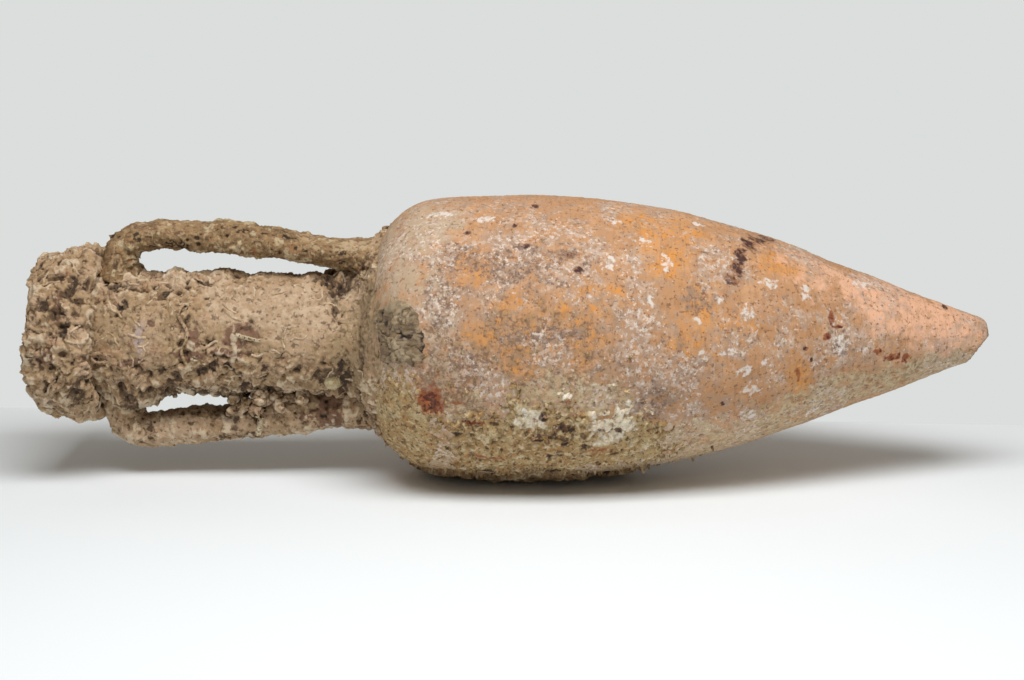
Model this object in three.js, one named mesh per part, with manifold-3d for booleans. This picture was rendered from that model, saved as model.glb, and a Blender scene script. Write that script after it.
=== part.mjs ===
// A Roman wine transport amphora, raised from the sea and lying on its side, in millimetres.
// The jar lies along X with its mouth at -X and its toe at +X, resting on the marine crust
// under its belly. It is built as a potter builds it, from thrown sections and pulled handles
// luted together, and then as the sea left it, with separate masses of crust, shells and worm
// tubes seated on the clay.
//
// Every piece is shaped in the jar's own frame: a station is a distance along the jar's axis
// from the lip, and an angle of 0 points up, 180 down and 270 to the front, at -Y.
import * as THREE from 'three';
import { mergeVertices } from 'three/addons/utils/BufferGeometryUtils.js';
import Module from 'manifold-3d';

const wasm = await Module();
wasm.setup();

const { clamp, degToRad, lerp, mapLinear, radToDeg, smoothstep } = THREE.MathUtils;

// Body outline, section by section from the lip to the tip of the toe
const NECK_TOP = 8; // the neck's edge lies this far under the lip
const NECK_LENGTH = 326; // from there to the start of the hollow root
const NECK_RADIUS = 57;
const ROOT_FILLET = 22; // hollow between neck and shoulder
const SHOULDER_ROUND = 68; // radius of the shoulder's arc
const CREST_TO_WIDEST = 92; // from the end of the shoulder's arc to the widest station
const BELLY_RADIUS = 145;
const BELLY_SWELL = 786; // radius of the long arc that the belly follows
const WIDEST_TO_CONE = 280; // from the widest station to the start of the straight cone
const CONE_LENGTH = 99;
const TOE_LENGTH = 101;
const TOE_HOLLOW = 46; // how far the cone's slope carries on into the toe
const TOE_END_RADIUS = 21;
const TIP_ROUND = 9;

// Joints between the thrown sections, each measured from a feature of the outline
const ROOT_TO_NECK_JOINT = 12; // from the start of the hollow root to the neck's end
const BELLY_JOINT_TO_WIDEST = 46;
const WIDEST_TO_CONE_JOINT = 132;
const SCARF = 9; // how far a joint's bevel runs along the wall
const PLUG_DEPTH = 24; // the toe's tang inside the lower body

// Walls
const NECK_WALL = 12;
const BELLY_WALL = 13;
const CONE_WALL = 18;

// Collar rim
const COLLAR_HEIGHT = 58;
const COLLAR_TOP_RADIUS = 77;
const COLLAR_BOTTOM_RADIUS = 84;
const COLLAR_EDGE_ROUND = 7;
const COLLAR_UNDERCUT = 6; // how far the collar's back is hollowed under its lower edge
const LIP_FLARE = 8; // how much the mouth opens from the neck's bore
const LIP_FLAT = 5; // bare width of the lip's face

// Handles: an oval strap that rises from the neck, bends and runs down to the shoulder
const COLLAR_TO_HANDLE = 35; // from the collar's lower edge to the strap's rise
const HANDLE_STANDOFF = 46; // from the neck's side to the middle of the strap, past the elbow
const ELBOW_LENGTH = 36;
const ELBOW_HEIGHT = 26;
const STRAP_FALL = 17; // how much nearer the neck the strap is at its foot
const BEND_TO_ROOT = 34; // the strap turns into its foot this far before the hollow root
const FOOT_DEPTH = 10; // how far the strap's end runs on inside the shoulder
const FOOT_DIP = 4;
const STRAP_HALF_THICKNESS = 13.5;
const STRAP_HALF_WIDTH = 21;
const ROOT_SPREAD = 0.35; // how much the strap widens where it is luted to the neck
const FOOT_SPREAD = 0.4; // and to the shoulder
const SPREAD_SHARE = 0.18; // share of the strap's length over which each end widens

// Marine crust: the thickness of each mass at its fullest, and where it lies
const FEATHER = 0.8; // thickness at a mass's edge
const RIM_CRUST = 6;
const NECK_CRUST = 4.5;
const ROOT_CRUST = 10;
const UPPER_HANDLE_CRUST = 3;
const LOWER_HANDLE_CRUST = 5;
const SHOULDER_CRUST = 2;
const BELLY_CRUST = 5;
const REST_CRUST = 10;
const REST_CLEARANCE = 4; // between the belly's lowest line and the rest face
const COLLAR_TO_CRUST = 6; // bare neck under the collar
const ROOT_CRUST_BEFORE = 8; // how far the root's crust reaches over the neck
const FOOT_CRUST = 5; // how far it reaches past the handles' feet on the shoulder
const SHOULDER_CRUST_LENGTH = 60;
const BELLY_CRUST_LENGTH = 200;
const REST_CRUST_BEFORE = 104; // how far the rest crust reaches from the widest station
const REST_CRUST_AFTER = 124;
const REST_HALF_ANGLE = 24;
const SHOULDER_CRUST_ANGLE = 252; // the crust's upper edge on the front of the shoulder
const BELLY_CRUST_ANGLE = 240;
const REST_EDGE = 0.3; // degrees between the rest crust and its neighbours
const CRUST_STEP = 32; // longest step along a mass of crust
const NECK_CRUST_STEP = 22; // and along the neck's, which is lumpier
const RIM_LOBES = 7; // swellings round the rim's crust

// The largest lumps on the neck's crust: how far from the collar each lies, its angle and its size
const NECK_LUMPS = [
  { after: 40, angle: 326, width: 34, height: 6 }, // beside the upper handle's rise
  { after: 40, angle: 210, width: 34, height: 7 }, // beside the lower one's
  { after: 94, angle: 357, width: 24, height: 6 },
  { after: 146, angle: 357, width: 22, height: 6 },
  { after: 62, angle: 112, width: 32, height: 5 },
  { after: 150, angle: 62, width: 30, height: 4 },
  { after: 205, angle: 150, width: 28, height: 4 },
];

// Lumps that bridge the neck and the lower handle
const NODULE_COUNT = 4;
const NODULE_RADIUS = 13;
const NODULE_SPACING = 16;
const ROOT_TO_NODULES = 119; // from the first nodule to the hollow root

// Shells and worm tubes cemented among the crust
const OYSTER_THICKNESS = 4;
const OYSTER_BEFORE = 4; // the oyster starts this far inside the root's crust
const OYSTER_LENGTH = 50;
const OYSTER_START_ANGLE = 267;
const OYSTER_END_ANGLE = 297;
const CLAM_RADIUS = 9;
const CLAM_HEIGHT = 6;
const CLAM_TO_ROOT = 20;
const CLAM_ANGLE = 226;
const TUBE_RADIUS = 2.6;
const TUBE_BORE = 1.3;
const COIL_RADIUS = 8;
const COIL_TURN = 290;
const COIL_ANGLE = 258;
const COLLAR_TO_COIL = 23;
const COLLAR_TO_NECK_TUBE = 108;
const NECK_TUBE_START_ANGLE = 306;
const NECK_TUBE_END_ANGLE = 246;
const NECK_TUBE_WANDER = 4;
const COLLAR_TO_STICK = 159;
const STICK_LENGTH = 26;
const STICK_ANGLE = 278;
const HANDLE_TUBE_HALF_HEIGHT = 8;
const COLLAR_TO_HANDLE_TUBE = 178;

const JOINT_GAP = 0.3; // slip or cement between two pieces
const SEGMENTS = 30; // facets round the jar
const STRAP_SIDES = 14;
const TUBE_SIDES = 6;
const CORNER_STEPS = { LineCurve: 1, EllipseCurve: 6, QuadraticBezierCurve: 3 };
const COLLAR_STEPS = 10;
const STRAP_STEPS = 18;
const WELD = 1e-4;
const DOWN = 180;

const point = (x, y) => new THREE.Vector2(x, y);

// A closed geometry as a solid, turned the right way out.
function solidOf(geometry) {
  const bare = geometry.clone();
  bare.deleteAttribute('normal');
  bare.deleteAttribute('uv');
  const merged = mergeVertices(bare, WELD);
  const corners = [];
  for (let i = 0; i < merged.index.count; i += 3) {
    const [a, b, c] = [0, 1, 2].map((step) => merged.index.getX(i + step));
    if (a !== b && b !== c && c !== a) corners.push(a, b, c);
  }
  const build = (order) =>
    new wasm.Manifold(new wasm.Mesh({
      numProp: 3,
      vertProperties: Float32Array.from(merged.attributes.position.array),
      triVerts: Uint32Array.from(order),
    }));
  const solid = build(corners);
  return solid.volume() > 0 ? solid : build(corners.reverse());
}

function geometryOf(solid) {
  const mesh = solid.getMesh();
  const geometry = new THREE.BufferGeometry();
  geometry.setAttribute('position', new THREE.BufferAttribute(mesh.vertProperties, 3));
  geometry.setIndex(new THREE.BufferAttribute(mesh.triVerts, 1));
  geometry.computeVertexNormals();
  return geometry;
}

function meshSolid(positions, index) {
  const geometry = new THREE.BufferGeometry();
  geometry.setAttribute('position', new THREE.Float32BufferAttribute(positions, 3));
  geometry.setIndex(index);
  return solidOf(geometry);
}

// Turns an outline of (station, radius) points about the jar's axis.
function revolve(outline) {
  const profile = outline.map((p) => point(Math.max(p.y, 0), p.x));
  return solidOf(new THREE.LatheGeometry(profile, SEGMENTS).rotateZ(-Math.PI / 2));
}

// The point at a station, a distance from the axis and an angle in degrees.
function around(station, radius, angle) {
  const turn = degToRad(angle);
  return new THREE.Vector3(station, radius * Math.sin(turn), radius * Math.cos(turn));
}

// A layer over a grid of cells, each with a point on its top and its bottom face. Rows or
// columns that wrap close on themselves, and open ones get a wall along their edge.
function layer(cells, { wrapRows = false, wrapColumns = false } = {}) {
  const rows = cells.length;
  const columns = cells[0].length;
  const positions = cells.flat().flatMap(({ top, bottom }) => [...top.toArray(), ...bottom.toArray()]);
  const at = (row, column, side) => 2 * ((row % rows) * columns + (column % columns)) + side;
  const index = [];
  const quad = (a, b, c, d) => index.push(a, b, c, a, c, d);
  const rowSteps = wrapRows ? rows : rows - 1;
  const columnSteps = wrapColumns ? columns : columns - 1;
  for (let r = 0; r < rowSteps; r++) {
    for (let c = 0; c < columnSteps; c++) {
      quad(at(r, c, 0), at(r + 1, c, 0), at(r + 1, c + 1, 0), at(r, c + 1, 0));
      quad(at(r, c, 1), at(r, c + 1, 1), at(r + 1, c + 1, 1), at(r + 1, c, 1));
    }
    if (!wrapColumns) {
      const end = columns - 1;
      quad(at(r, 0, 0), at(r, 0, 1), at(r + 1, 0, 1), at(r + 1, 0, 0));
      quad(at(r, end, 0), at(r + 1, end, 0), at(r + 1, end, 1), at(r, end, 1));
    }
  }
  for (let c = 0; c < columnSteps && !wrapRows; c++) {
    const end = rows - 1;
    quad(at(0, c, 0), at(0, c + 1, 0), at(0, c + 1, 1), at(0, c, 1));
    quad(at(end, c, 0), at(end, c, 1), at(end, c + 1, 1), at(end, c + 1, 0));
  }
  return meshSolid(positions, index);
}

// A skin over rings of points, closed by a fan at each end.
function skin(rings) {
  const sides = rings[0].length;
  const positions = rings.flat().flatMap((p) => p.toArray());
  const index = [];
  for (let r = 0; r < rings.length - 1; r++) {
    for (let s = 0; s < sides; s++) {
      const a = r * sides + s;
      const b = r * sides + ((s + 1) % sides);
      index.push(a, b, b + sides, a, b + sides, a + sides);
    }
  }
  const last = (rings.length - 1) * sides;
  for (let s = 1; s < sides - 1; s++) {
    index.push(0, s + 1, s);
    index.push(last, last + s, last + s + 1);
  }
  return meshSolid(positions, index);
}

// Cuts pieces away and keeps the largest body that is left.
function trim(solid, ...cutters) {
  const left = cutters.reduce((rest, cutter) => rest.subtract(cutter), solid);
  return left.decompose().reduce((best, body) => (body.volume() > best.volume() ? body : best));
}

// Slow, uneven swelling between 0 and 1 over a distance and a turn, with so many lobes round
// the turn.
function swelling(distance, turn, seed, lobes = 3) {
  const along = Math.sin(1.7 * distance + seed);
  const round = Math.sin(lobes * turn + 1.9 * seed);
  const across = Math.sin(3.1 * distance - (lobes + 2) * turn + seed);
  return 0.5 + (along + round + across) / 6;
}

// 0 at the start and the end of a stretch and 1 in its middle, rising over a span at each end.
const rise = (share, span) => smoothstep(Math.min(share, 1 - share), 0, span);

// The outside of the thrown body, as (station, radius): neck, hollow root, shoulder arc, belly
// arc, straight cone and toe. Each stretch is tangent to the next.
const rootStation = NECK_TOP + NECK_LENGTH;
const shoulderLean = Math.asin(CREST_TO_WIDEST / BELLY_SWELL);
const shoulderHeight = BELLY_RADIUS - BELLY_SWELL + (BELLY_SWELL - SHOULDER_ROUND) * Math.cos(shoulderLean);
const rootCentre = point(rootStation, NECK_RADIUS + ROOT_FILLET);
const centreStep = shoulderHeight - rootCentre.y;
const shoulderCentre = point(
  rootStation + Math.sqrt((ROOT_FILLET + SHOULDER_ROUND) ** 2 - centreStep ** 2),
  shoulderHeight,
);
const rootTurn = Math.atan2(centreStep, shoulderCentre.x - rootStation);
const widestStation = shoulderCentre.x + (BELLY_SWELL - SHOULDER_ROUND) * Math.sin(shoulderLean);
const bellyCentre = point(widestStation, BELLY_RADIUS - BELLY_SWELL);
const coneLean = Math.asin(WIDEST_TO_CONE / BELLY_SWELL);
const coneRadius = bellyCentre.y + BELLY_SWELL * Math.cos(coneLean);
const coneStation = widestStation + WIDEST_TO_CONE;
const toeStation = coneStation + CONE_LENGTH;
const toeRadius = coneRadius - CONE_LENGTH * Math.tan(coneLean);
const tipStation = toeStation + TOE_LENGTH;

const neckJoint = rootStation + ROOT_TO_NECK_JOINT;
const bellyJoint = widestStation - BELLY_JOINT_TO_WIDEST;
const coneJoint = widestStation + WIDEST_TO_CONE_JOINT;

function bodyOutline() {
  const quarter = Math.PI / 2;
  const path = new THREE.Path();
  path.moveTo(NECK_TOP, NECK_RADIUS);
  path.lineTo(rootStation, NECK_RADIUS);
  path.absarc(rootCentre.x, rootCentre.y, ROOT_FILLET, -quarter, rootTurn, false);
  path.absarc(
    shoulderCentre.x, shoulderCentre.y, SHOULDER_ROUND,
    Math.PI + rootTurn, quarter + shoulderLean, true,
  );
  path.absarc(bellyCentre.x, bellyCentre.y, BELLY_SWELL, quarter + shoulderLean, quarter - coneLean, true);
  path.lineTo(toeStation, toeRadius);
  path.quadraticCurveTo(
    toeStation + TOE_HOLLOW, toeRadius - TOE_HOLLOW * Math.tan(coneLean),
    tipStation - TIP_ROUND, TOE_END_RADIUS,
  );
  path.quadraticCurveTo(tipStation, TOE_END_RADIUS - TIP_ROUND / 3, tipStation, TOE_END_RADIUS - TIP_ROUND);
  return path;
}
const body = bodyOutline();

// The share at which a test on the body's outline turns from true to false.
function shareWhere(low, high, isBefore) {
  let [from, to] = [low, high];
  for (let step = 0; step < 40; step++) {
    const middle = (from + to) / 2;
    if (isBefore(body.getPoint(middle))) from = middle;
    else to = middle;
  }
  return (from + to) / 2;
}

// The share of the body's outline at a station, and the station at which the root and the
// shoulder reach a radius.
const shareAt = (station) => shareWhere(0, 1, (p) => p.x < station);
const stationAt = (radius) =>
  body.getPoint(shareWhere(shareAt(rootStation), shareAt(widestStation), (p) => p.y < radius)).x;

// The point at a share of a path, moved out along its normal.
function offsetPoint(path, share, distance) {
  const tangent = path.getTangent(share);
  return path.getPoint(share).add(point(-tangent.y, tangent.x).multiplyScalar(distance));
}

// The shares at which the outline has a corner when it is turned: the ends of every stretch,
// the steps along the curved ones, and the joints.
function cornerShares() {
  const total = body.getLength();
  const shares = [0];
  let run = 0;
  body.curves.forEach((curve) => {
    const length = curve.getLength();
    const steps = CORNER_STEPS[curve.type];
    for (let i = 1; i <= steps; i++) shares.push((run + (length * i) / steps) / total);
    run += length;
  });
  return [...shares, ...[neckJoint, bellyJoint, coneJoint].map(shareAt)].sort((a, b) => a - b);
}
const corners = cornerShares();

// The shares of the outline's corners between two stations, with both ends.
function sharesBetween(from, to) {
  const [start, end] = [shareAt(from), shareAt(to)];
  const clear = 1e-3;
  return [start, ...corners.filter((share) => share > start + clear && share < end - clear), end];
}

// Points along the outline between two stations, moved out by a distance that may depend on
// the station.
function outlineBetween(from, to, distance = () => 0) {
  return sharesBetween(from, to).map((share) => offsetPoint(body, share, distance(body.getPoint(share).x)));
}

// The same shares with long steps split, so that crust can swell between the corners.
function crustShares(from, to, longest = CRUST_STEP) {
  const shares = sharesBetween(from, to);
  return shares.flatMap((share, i) => {
    if (i === 0) return [share];
    const before = shares[i - 1];
    const steps = Math.ceil(((share - before) * body.getLength()) / longest);
    return Array.from({ length: steps }, (_, j) => lerp(before, share, (j + 1) / steps));
  });
}

// The wall is even down to the belly and grows towards the toe.
function wallAt(station) {
  if (station < bellyJoint) {
    return mapLinear(clamp(station, neckJoint, bellyJoint), neckJoint, bellyJoint, NECK_WALL, BELLY_WALL);
  }
  return mapLinear(clamp(station, coneJoint, toeStation), coneJoint, toeStation, BELLY_WALL, CONE_WALL);
}

// A thrown section between two stations. Its ends are bevelled where they meet another section.
function thrownSection(from, to, startBevel, endBevel) {
  const start = from + (startBevel ? JOINT_GAP : 0);
  const outside = outlineBetween(start, to);
  const inside = outlineBetween(start + startBevel, to + endBevel, (station) => -wallAt(station));
  return revolve([...outside, ...inside.reverse(), outside[0]]);
}

const neck = () => thrownSection(NECK_TOP, neckJoint, 0, SCARF);
const shoulder = () => thrownSection(neckJoint, bellyJoint, SCARF, SCARF);
const belly = () => thrownSection(bellyJoint, coneJoint, SCARF, SCARF);
const lowerBody = () => thrownSection(coneJoint, toeStation, SCARF, 0);

// The toe: a solid spike with a tang that plugs the lower body's open end.
function toeSpike() {
  const seat = (station) => -wallAt(station) - JOINT_GAP;
  const tang = outlineBetween(toeStation - PLUG_DEPTH, toeStation + JOINT_GAP, seat);
  const outside = outlineBetween(toeStation + JOINT_GAP, tipStation);
  return revolve([point(tang[0].x, 0), ...tang, ...outside, point(tipStation, 0)]);
}

// The jar's outside, filled to the axis: what a handle or a crust is trimmed against.
function bodyBlank(grow) {
  const outside = outlineBetween(NECK_TOP, tipStation, () => grow);
  const last = outside[outside.length - 1];
  return revolve([point(NECK_TOP, 0), ...outside, point(last.x, 0)]);
}

// The collar's outside, from the lip's face round to the undercut against the neck.
function collarOutline() {
  const round = COLLAR_EDGE_ROUND;
  const path = new THREE.Path();
  path.moveTo(0, COLLAR_TOP_RADIUS - round - LIP_FLAT);
  path.lineTo(0, COLLAR_TOP_RADIUS - round);
  path.quadraticCurveTo(0, COLLAR_TOP_RADIUS, round, COLLAR_TOP_RADIUS);
  path.lineTo(COLLAR_HEIGHT - round, COLLAR_BOTTOM_RADIUS);
  path.quadraticCurveTo(COLLAR_HEIGHT, COLLAR_BOTTOM_RADIUS, COLLAR_HEIGHT, COLLAR_BOTTOM_RADIUS - round);
  path.lineTo(COLLAR_HEIGHT - COLLAR_UNDERCUT / 2, NECK_RADIUS + COLLAR_UNDERCUT);
  return path;
}
const collar = collarOutline();

const collarShares = Array.from({ length: COLLAR_STEPS + 1 }, (_, i) => i / COLLAR_STEPS);

// The collar rim: a band that sleeves the neck's top and laps over its edge.
function collarRim() {
  const seat = NECK_RADIUS + JOINT_GAP;
  const bore = NECK_RADIUS - NECK_WALL;
  const outside = collarShares.map((share) => collar.getPoint(share));
  return revolve([
    ...outside,
    point(COLLAR_HEIGHT - COLLAR_UNDERCUT, seat),
    point(NECK_TOP - JOINT_GAP, seat),
    point(NECK_TOP - JOINT_GAP, bore),
    point(0, bore + LIP_FLARE),
    outside[0],
  ]);
}

// How far from the axis the strap runs past its elbow, and where its foot's outer edge lands.
const strapReach = NECK_RADIUS + HANDLE_STANDOFF;
const footRadius = strapReach - STRAP_FALL - FOOT_DIP + STRAP_HALF_THICKNESS * (1 + FOOT_SPREAD);

// The strap's centre line, in the plane through the jar's axis.
function strapLine() {
  const top = COLLAR_HEIGHT + COLLAR_TO_HANDLE;
  const bend = rootStation - BEND_TO_ROOT;
  const end = stationAt(footRadius) + FOOT_DEPTH;
  const low = strapReach - STRAP_FALL;
  const path = new THREE.Path();
  path.moveTo(top, NECK_RADIUS - NECK_WALL / 2);
  path.lineTo(top, strapReach - ELBOW_HEIGHT);
  path.quadraticCurveTo(top, strapReach, top + ELBOW_LENGTH, strapReach);
  path.lineTo(bend, low);
  path.quadraticCurveTo((bend + end) / 2, low - FOOT_DIP, end, low - FOOT_DIP);
  return path;
}
const strap = strapLine();

// The strap's distance from the axis where it runs straight.
function reachAt(station) {
  const elbow = COLLAR_HEIGHT + COLLAR_TO_HANDLE + ELBOW_LENGTH;
  return mapLinear(station, elbow, rootStation - BEND_TO_ROOT, strapReach, strapReach - STRAP_FALL);
}

// How much wider the strap is at a share of its length than in its middle.
function strapSpread(share) {
  const root = 1 - smoothstep(share, 0, SPREAD_SHARE);
  const foot = smoothstep(share, 1 - SPREAD_SHARE, 1);
  return 1 + ROOT_SPREAD * root + FOOT_SPREAD * foot;
}

// A ring of points round the strap, moved out by a distance that may depend on the turn. The
// side is 1 for the upper handle and -1 for the lower one.
function strapRing(share, side, distance) {
  const centre = strap.getPoint(share);
  const tangent = strap.getTangent(share);
  const spread = strapSpread(share);
  return Array.from({ length: STRAP_SIDES }, (_, i) => {
    const turn = (2 * Math.PI * i) / STRAP_SIDES;
    const extra = distance(turn);
    const out = Math.cos(turn) * (STRAP_HALF_THICKNESS * spread + extra);
    const across = Math.sin(turn) * (STRAP_HALF_WIDTH * spread + extra);
    return new THREE.Vector3(centre.x - tangent.y * out, across, side * (centre.y + tangent.x * out));
  });
}

function strapSolid(side, grow = 0) {
  const shares = Array.from({ length: STRAP_STEPS + 1 }, (_, i) => i / STRAP_STEPS);
  return skin(shares.map((share) => strapRing(share, side, () => grow)));
}

// A sleeve of crust round the strap between two of its rings.
function strapCoat(side, from, to, thickness, seed) {
  const cells = Array.from({ length: to - from + 1 }, (_, i) => {
    const share = (from + i) / STRAP_STEPS;
    const full = thickness * rise(i / (to - from), 0.25);
    const top = strapRing(share, side, (turn) =>
      JOINT_GAP + FEATHER + full * lerp(0.4, 1.2, swelling(i, turn, seed)));
    const bottom = strapRing(share, side, () => JOINT_GAP);
    return top.map((p, j) => ({ top: p, bottom: bottom[j] }));
  });
  return layer(cells, { wrapColumns: true });
}

// A coat over part of a turned outline, along a list of shares of its length. It goes right
// round, or from one angle to another. Its thickness depends on how far along and around it a
// point lies, as shares, and on its turn and station. A grown coat is deeper too, to cut its
// neighbours.
function coat({ path = body, shares, start, end, columns = SEGMENTS, thickness, grow = 0 }) {
  const closed = start === undefined;
  const [first, last] = [shares[0], shares[shares.length - 1]];
  const spare = radToDeg(grow / path.getPoint(first).y);
  const angleAt = (i) => (closed ? (360 * i) / columns : lerp(start - spare, end + spare, i / columns));
  const cells = Array.from({ length: closed ? columns : columns + 1 }, (_, i) =>
    shares.map((share) => {
      const along = (share - first) / (last - first);
      const station = path.getPoint(share).x;
      const height = JOINT_GAP + thickness(along, i / columns, degToRad(angleAt(i)), station) + grow;
      const top = offsetPoint(path, share, height);
      const bottom = offsetPoint(path, share, JOINT_GAP - 2 * grow);
      return { top: around(top.x, top.y, angleAt(i)), bottom: around(bottom.x, bottom.y, angleAt(i)) };
    }));
  return layer(cells, { wrapRows: closed });
}

const crustStart = COLLAR_HEIGHT + COLLAR_TO_CRUST;
const rootCrustStart = rootStation - ROOT_CRUST_BEFORE;
const rootCrustEnd = stationAt(footRadius + FOOT_CRUST);

function rimCoat() {
  return coat({
    path: collar,
    shares: collarShares.slice(2, -1),
    thickness: (along, round, turn) => {
      const drift = lerp(0.1, 1.4, swelling(5 * along, turn, 2, RIM_LOBES));
      return FEATHER + RIM_CRUST * rise(along, 0.2) * drift;
    },
  });
}

// How high the neck's largest lumps stand at a station and a turn.
function lumpHeight(station, turn) {
  const heights = NECK_LUMPS.map(({ after, angle, width, height }) => {
    const slide = station - COLLAR_HEIGHT - after;
    const chord = 2 * NECK_RADIUS * Math.sin((turn - degToRad(angle)) / 2);
    return height * (1 - smoothstep(Math.hypot(slide, chord), 0, width));
  });
  return Math.max(...heights);
}

function neckCoat(grow = 0) {
  return coat({
    shares: crustShares(crustStart, rootCrustStart - JOINT_GAP + grow, NECK_CRUST_STEP),
    grow,
    thickness: (along, round, turn, station) => {
      const drift = lerp(0.3, 1, rise(along, 0.15)) * lerp(0.3, 1.2, swelling(9 * along, turn, 1));
      return FEATHER + NECK_CRUST * drift + lumpHeight(station, turn);
    },
  });
}

// Thickest in the hollow root, thinning out over the shoulder.
function rootCoat(grow = 0) {
  const fullness = (along) => smoothstep(along, -0.2, 0.35) * (1 - smoothstep(along, 0.5, 1));
  return coat({
    shares: crustShares(rootCrustStart - grow, rootCrustEnd + grow),
    grow,
    thickness: (along, round, turn) =>
      FEATHER + ROOT_CRUST * fullness(along) * lerp(0.5, 1.1, swelling(3 * along, turn, 4)),
  });
}

// A patch of crust on the body between two stations and two angles, thinning to its edges.
function patch(from, to, start, end, thickness, seed, { edge = 0.3, grow = 0 } = {}) {
  const columns = Math.round(((end - start) * SEGMENTS) / 360);
  return coat({
    shares: crustShares(from - grow, to + grow), start, end, columns, grow,
    thickness: (along, round, turn) =>
      FEATHER + thickness * rise(along, edge) * rise(round, edge)
        * lerp(0.6, 1.2, swelling(6 * along, turn, seed)),
  });
}

function oysterPlate(grow = 0) {
  const start = rootCrustEnd - OYSTER_BEFORE;
  return patch(
    start, start + OYSTER_LENGTH, OYSTER_START_ANGLE, OYSTER_END_ANGLE, OYSTER_THICKNESS, 3,
    { edge: 0.2, grow },
  );
}

// The crust that the jar lies on. Its lower face is flat.
function restCoat() {
  const mass = patch(
    widestStation - REST_CRUST_BEFORE, widestStation + REST_CRUST_AFTER,
    DOWN - REST_HALF_ANGLE, DOWN + REST_HALF_ANGLE, REST_CRUST, 5, { edge: 0.2 },
  );
  return mass.trimByPlane([0, 0, 1], -BELLY_RADIUS - REST_CLEARANCE);
}

function ball(centre, size, angle) {
  const geometry = new THREE.SphereGeometry(1, 9, 6).rotateX(Math.PI / 2).scale(size.x, size.y, size.z);
  return solidOf(geometry.rotateX(-degToRad(angle)).translate(centre.x, centre.y, centre.z));
}

// Lumps in a row, each grown into the next, that fill the space between neck and handle.
function noduleRow(grow = 0) {
  const lumps = Array.from({ length: NODULE_COUNT }, (_, i) => {
    const station = rootStation - ROOT_TO_NODULES + NODULE_SPACING * i;
    const middle = (NECK_RADIUS + reachAt(station) - STRAP_HALF_THICKNESS) / 2;
    const radius = NODULE_RADIUS + Math.cos(2 * i) + grow;
    const centre = around(station, middle, DOWN + 3 * Math.sin(3 * i));
    return ball(centre, new THREE.Vector3(radius, radius, radius), 0);
  });
  return lumps.reduce((mass, lump) => mass.add(lump));
}

function clamDome(grow = 0) {
  const centre = around(rootStation - CLAM_TO_ROOT, NECK_RADIUS + 1, CLAM_ANGLE);
  const size = new THREE.Vector3(CLAM_RADIUS + grow, CLAM_RADIUS + grow, CLAM_HEIGHT + grow);
  return ball(centre, size, CLAM_ANGLE);
}

// A round pipe along a line of points.
function pipe(points, radius) {
  const line = new THREE.CatmullRomCurve3(points);
  const steps = points.length + 2;
  const { normals, binormals } = line.computeFrenetFrames(steps, false);
  return skin(Array.from({ length: steps + 1 }, (_, i) =>
    Array.from({ length: TUBE_SIDES }, (__, s) => {
      const turn = (2 * Math.PI * s) / TUBE_SIDES;
      return line.getPointAt(i / steps)
        .addScaledVector(normals[i], radius * Math.cos(turn))
        .addScaledVector(binormals[i], radius * Math.sin(turn));
    })));
}

// A limy worm tube with an open, hollow end.
function wormTube(points) {
  const [before, mouth] = points.slice(-2);
  const beyond = mouth.clone().lerp(before, -0.2);
  const inside = mouth.clone().lerp(before, 0.8);
  return pipe(points, TUBE_RADIUS).subtract(pipe([inside, beyond], TUBE_BORE));
}

// Points on the neck where a tube lies, and the lines of the tubes.
const onNeck = (station, angle) => around(station, NECK_RADIUS + TUBE_RADIUS + JOINT_GAP, angle);

function coilLine() {
  const steps = 9;
  const centre = COLLAR_HEIGHT + COLLAR_TO_COIL;
  return Array.from({ length: steps + 1 }, (_, i) => {
    const turn = degToRad((COIL_TURN * i) / steps);
    const lean = radToDeg((COIL_RADIUS * Math.sin(turn)) / NECK_RADIUS);
    return onNeck(centre + COIL_RADIUS * Math.cos(turn), COIL_ANGLE + lean);
  });
}

function neckTubeLine() {
  const steps = 6;
  return Array.from({ length: steps + 1 }, (_, i) => {
    const station = COLLAR_HEIGHT + COLLAR_TO_NECK_TUBE + NECK_TUBE_WANDER * Math.sin(2.2 * i);
    return onNeck(station, lerp(NECK_TUBE_START_ANGLE, NECK_TUBE_END_ANGLE, i / steps));
  });
}

function stickLine() {
  const start = COLLAR_HEIGHT + COLLAR_TO_STICK;
  return [0, 0.5, 1].map((share) => onNeck(start + STICK_LENGTH * share, STICK_ANGLE - 4 * share));
}

// A short tube that stands across the lower handle's front.
function handleTubeLine() {
  const station = COLLAR_HEIGHT + COLLAR_TO_HANDLE_TUBE;
  const front = -STRAP_HALF_WIDTH - TUBE_RADIUS - JOINT_GAP;
  return [1, 0, -1].map((share) =>
    new THREE.Vector3(station - 2 * share, front, -reachAt(station) - HANDLE_TUBE_HALF_HEIGHT * share));
}

// Fired clay, paler where it is worn, and what the sea left on it
const firedClay = () => new THREE.MeshStandardMaterial({ color: 0xd28a55, roughness: 0.85, metalness: 0 });
const paleClay = () => new THREE.MeshStandardMaterial({ color: 0xcfa07c, roughness: 0.88, metalness: 0 });
const handleClay = () => new THREE.MeshStandardMaterial({ color: 0x8a6a50, roughness: 0.85, metalness: 0 });
const limyCrust = () => new THREE.MeshStandardMaterial({ color: 0x9c8c78, roughness: 0.95, metalness: 0 });
const darkCrust = () => new THREE.MeshStandardMaterial({ color: 0x6f6152, roughness: 0.95, metalness: 0 });
const greenCrust = () => new THREE.MeshStandardMaterial({ color: 0x9a9781, roughness: 0.92, metalness: 0 });
const oysterShell = () => new THREE.MeshStandardMaterial({ color: 0x5b554e, roughness: 0.7, metalness: 0 });
const clamShell = () => new THREE.MeshStandardMaterial({ color: 0xcdc19a, roughness: 0.6, metalness: 0 });
const wormLime = () => new THREE.MeshStandardMaterial({ color: 0xd9d2c4, roughness: 0.8, metalness: 0 });

const part = new THREE.Group();
part.name = 'transport_amphora';

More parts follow.
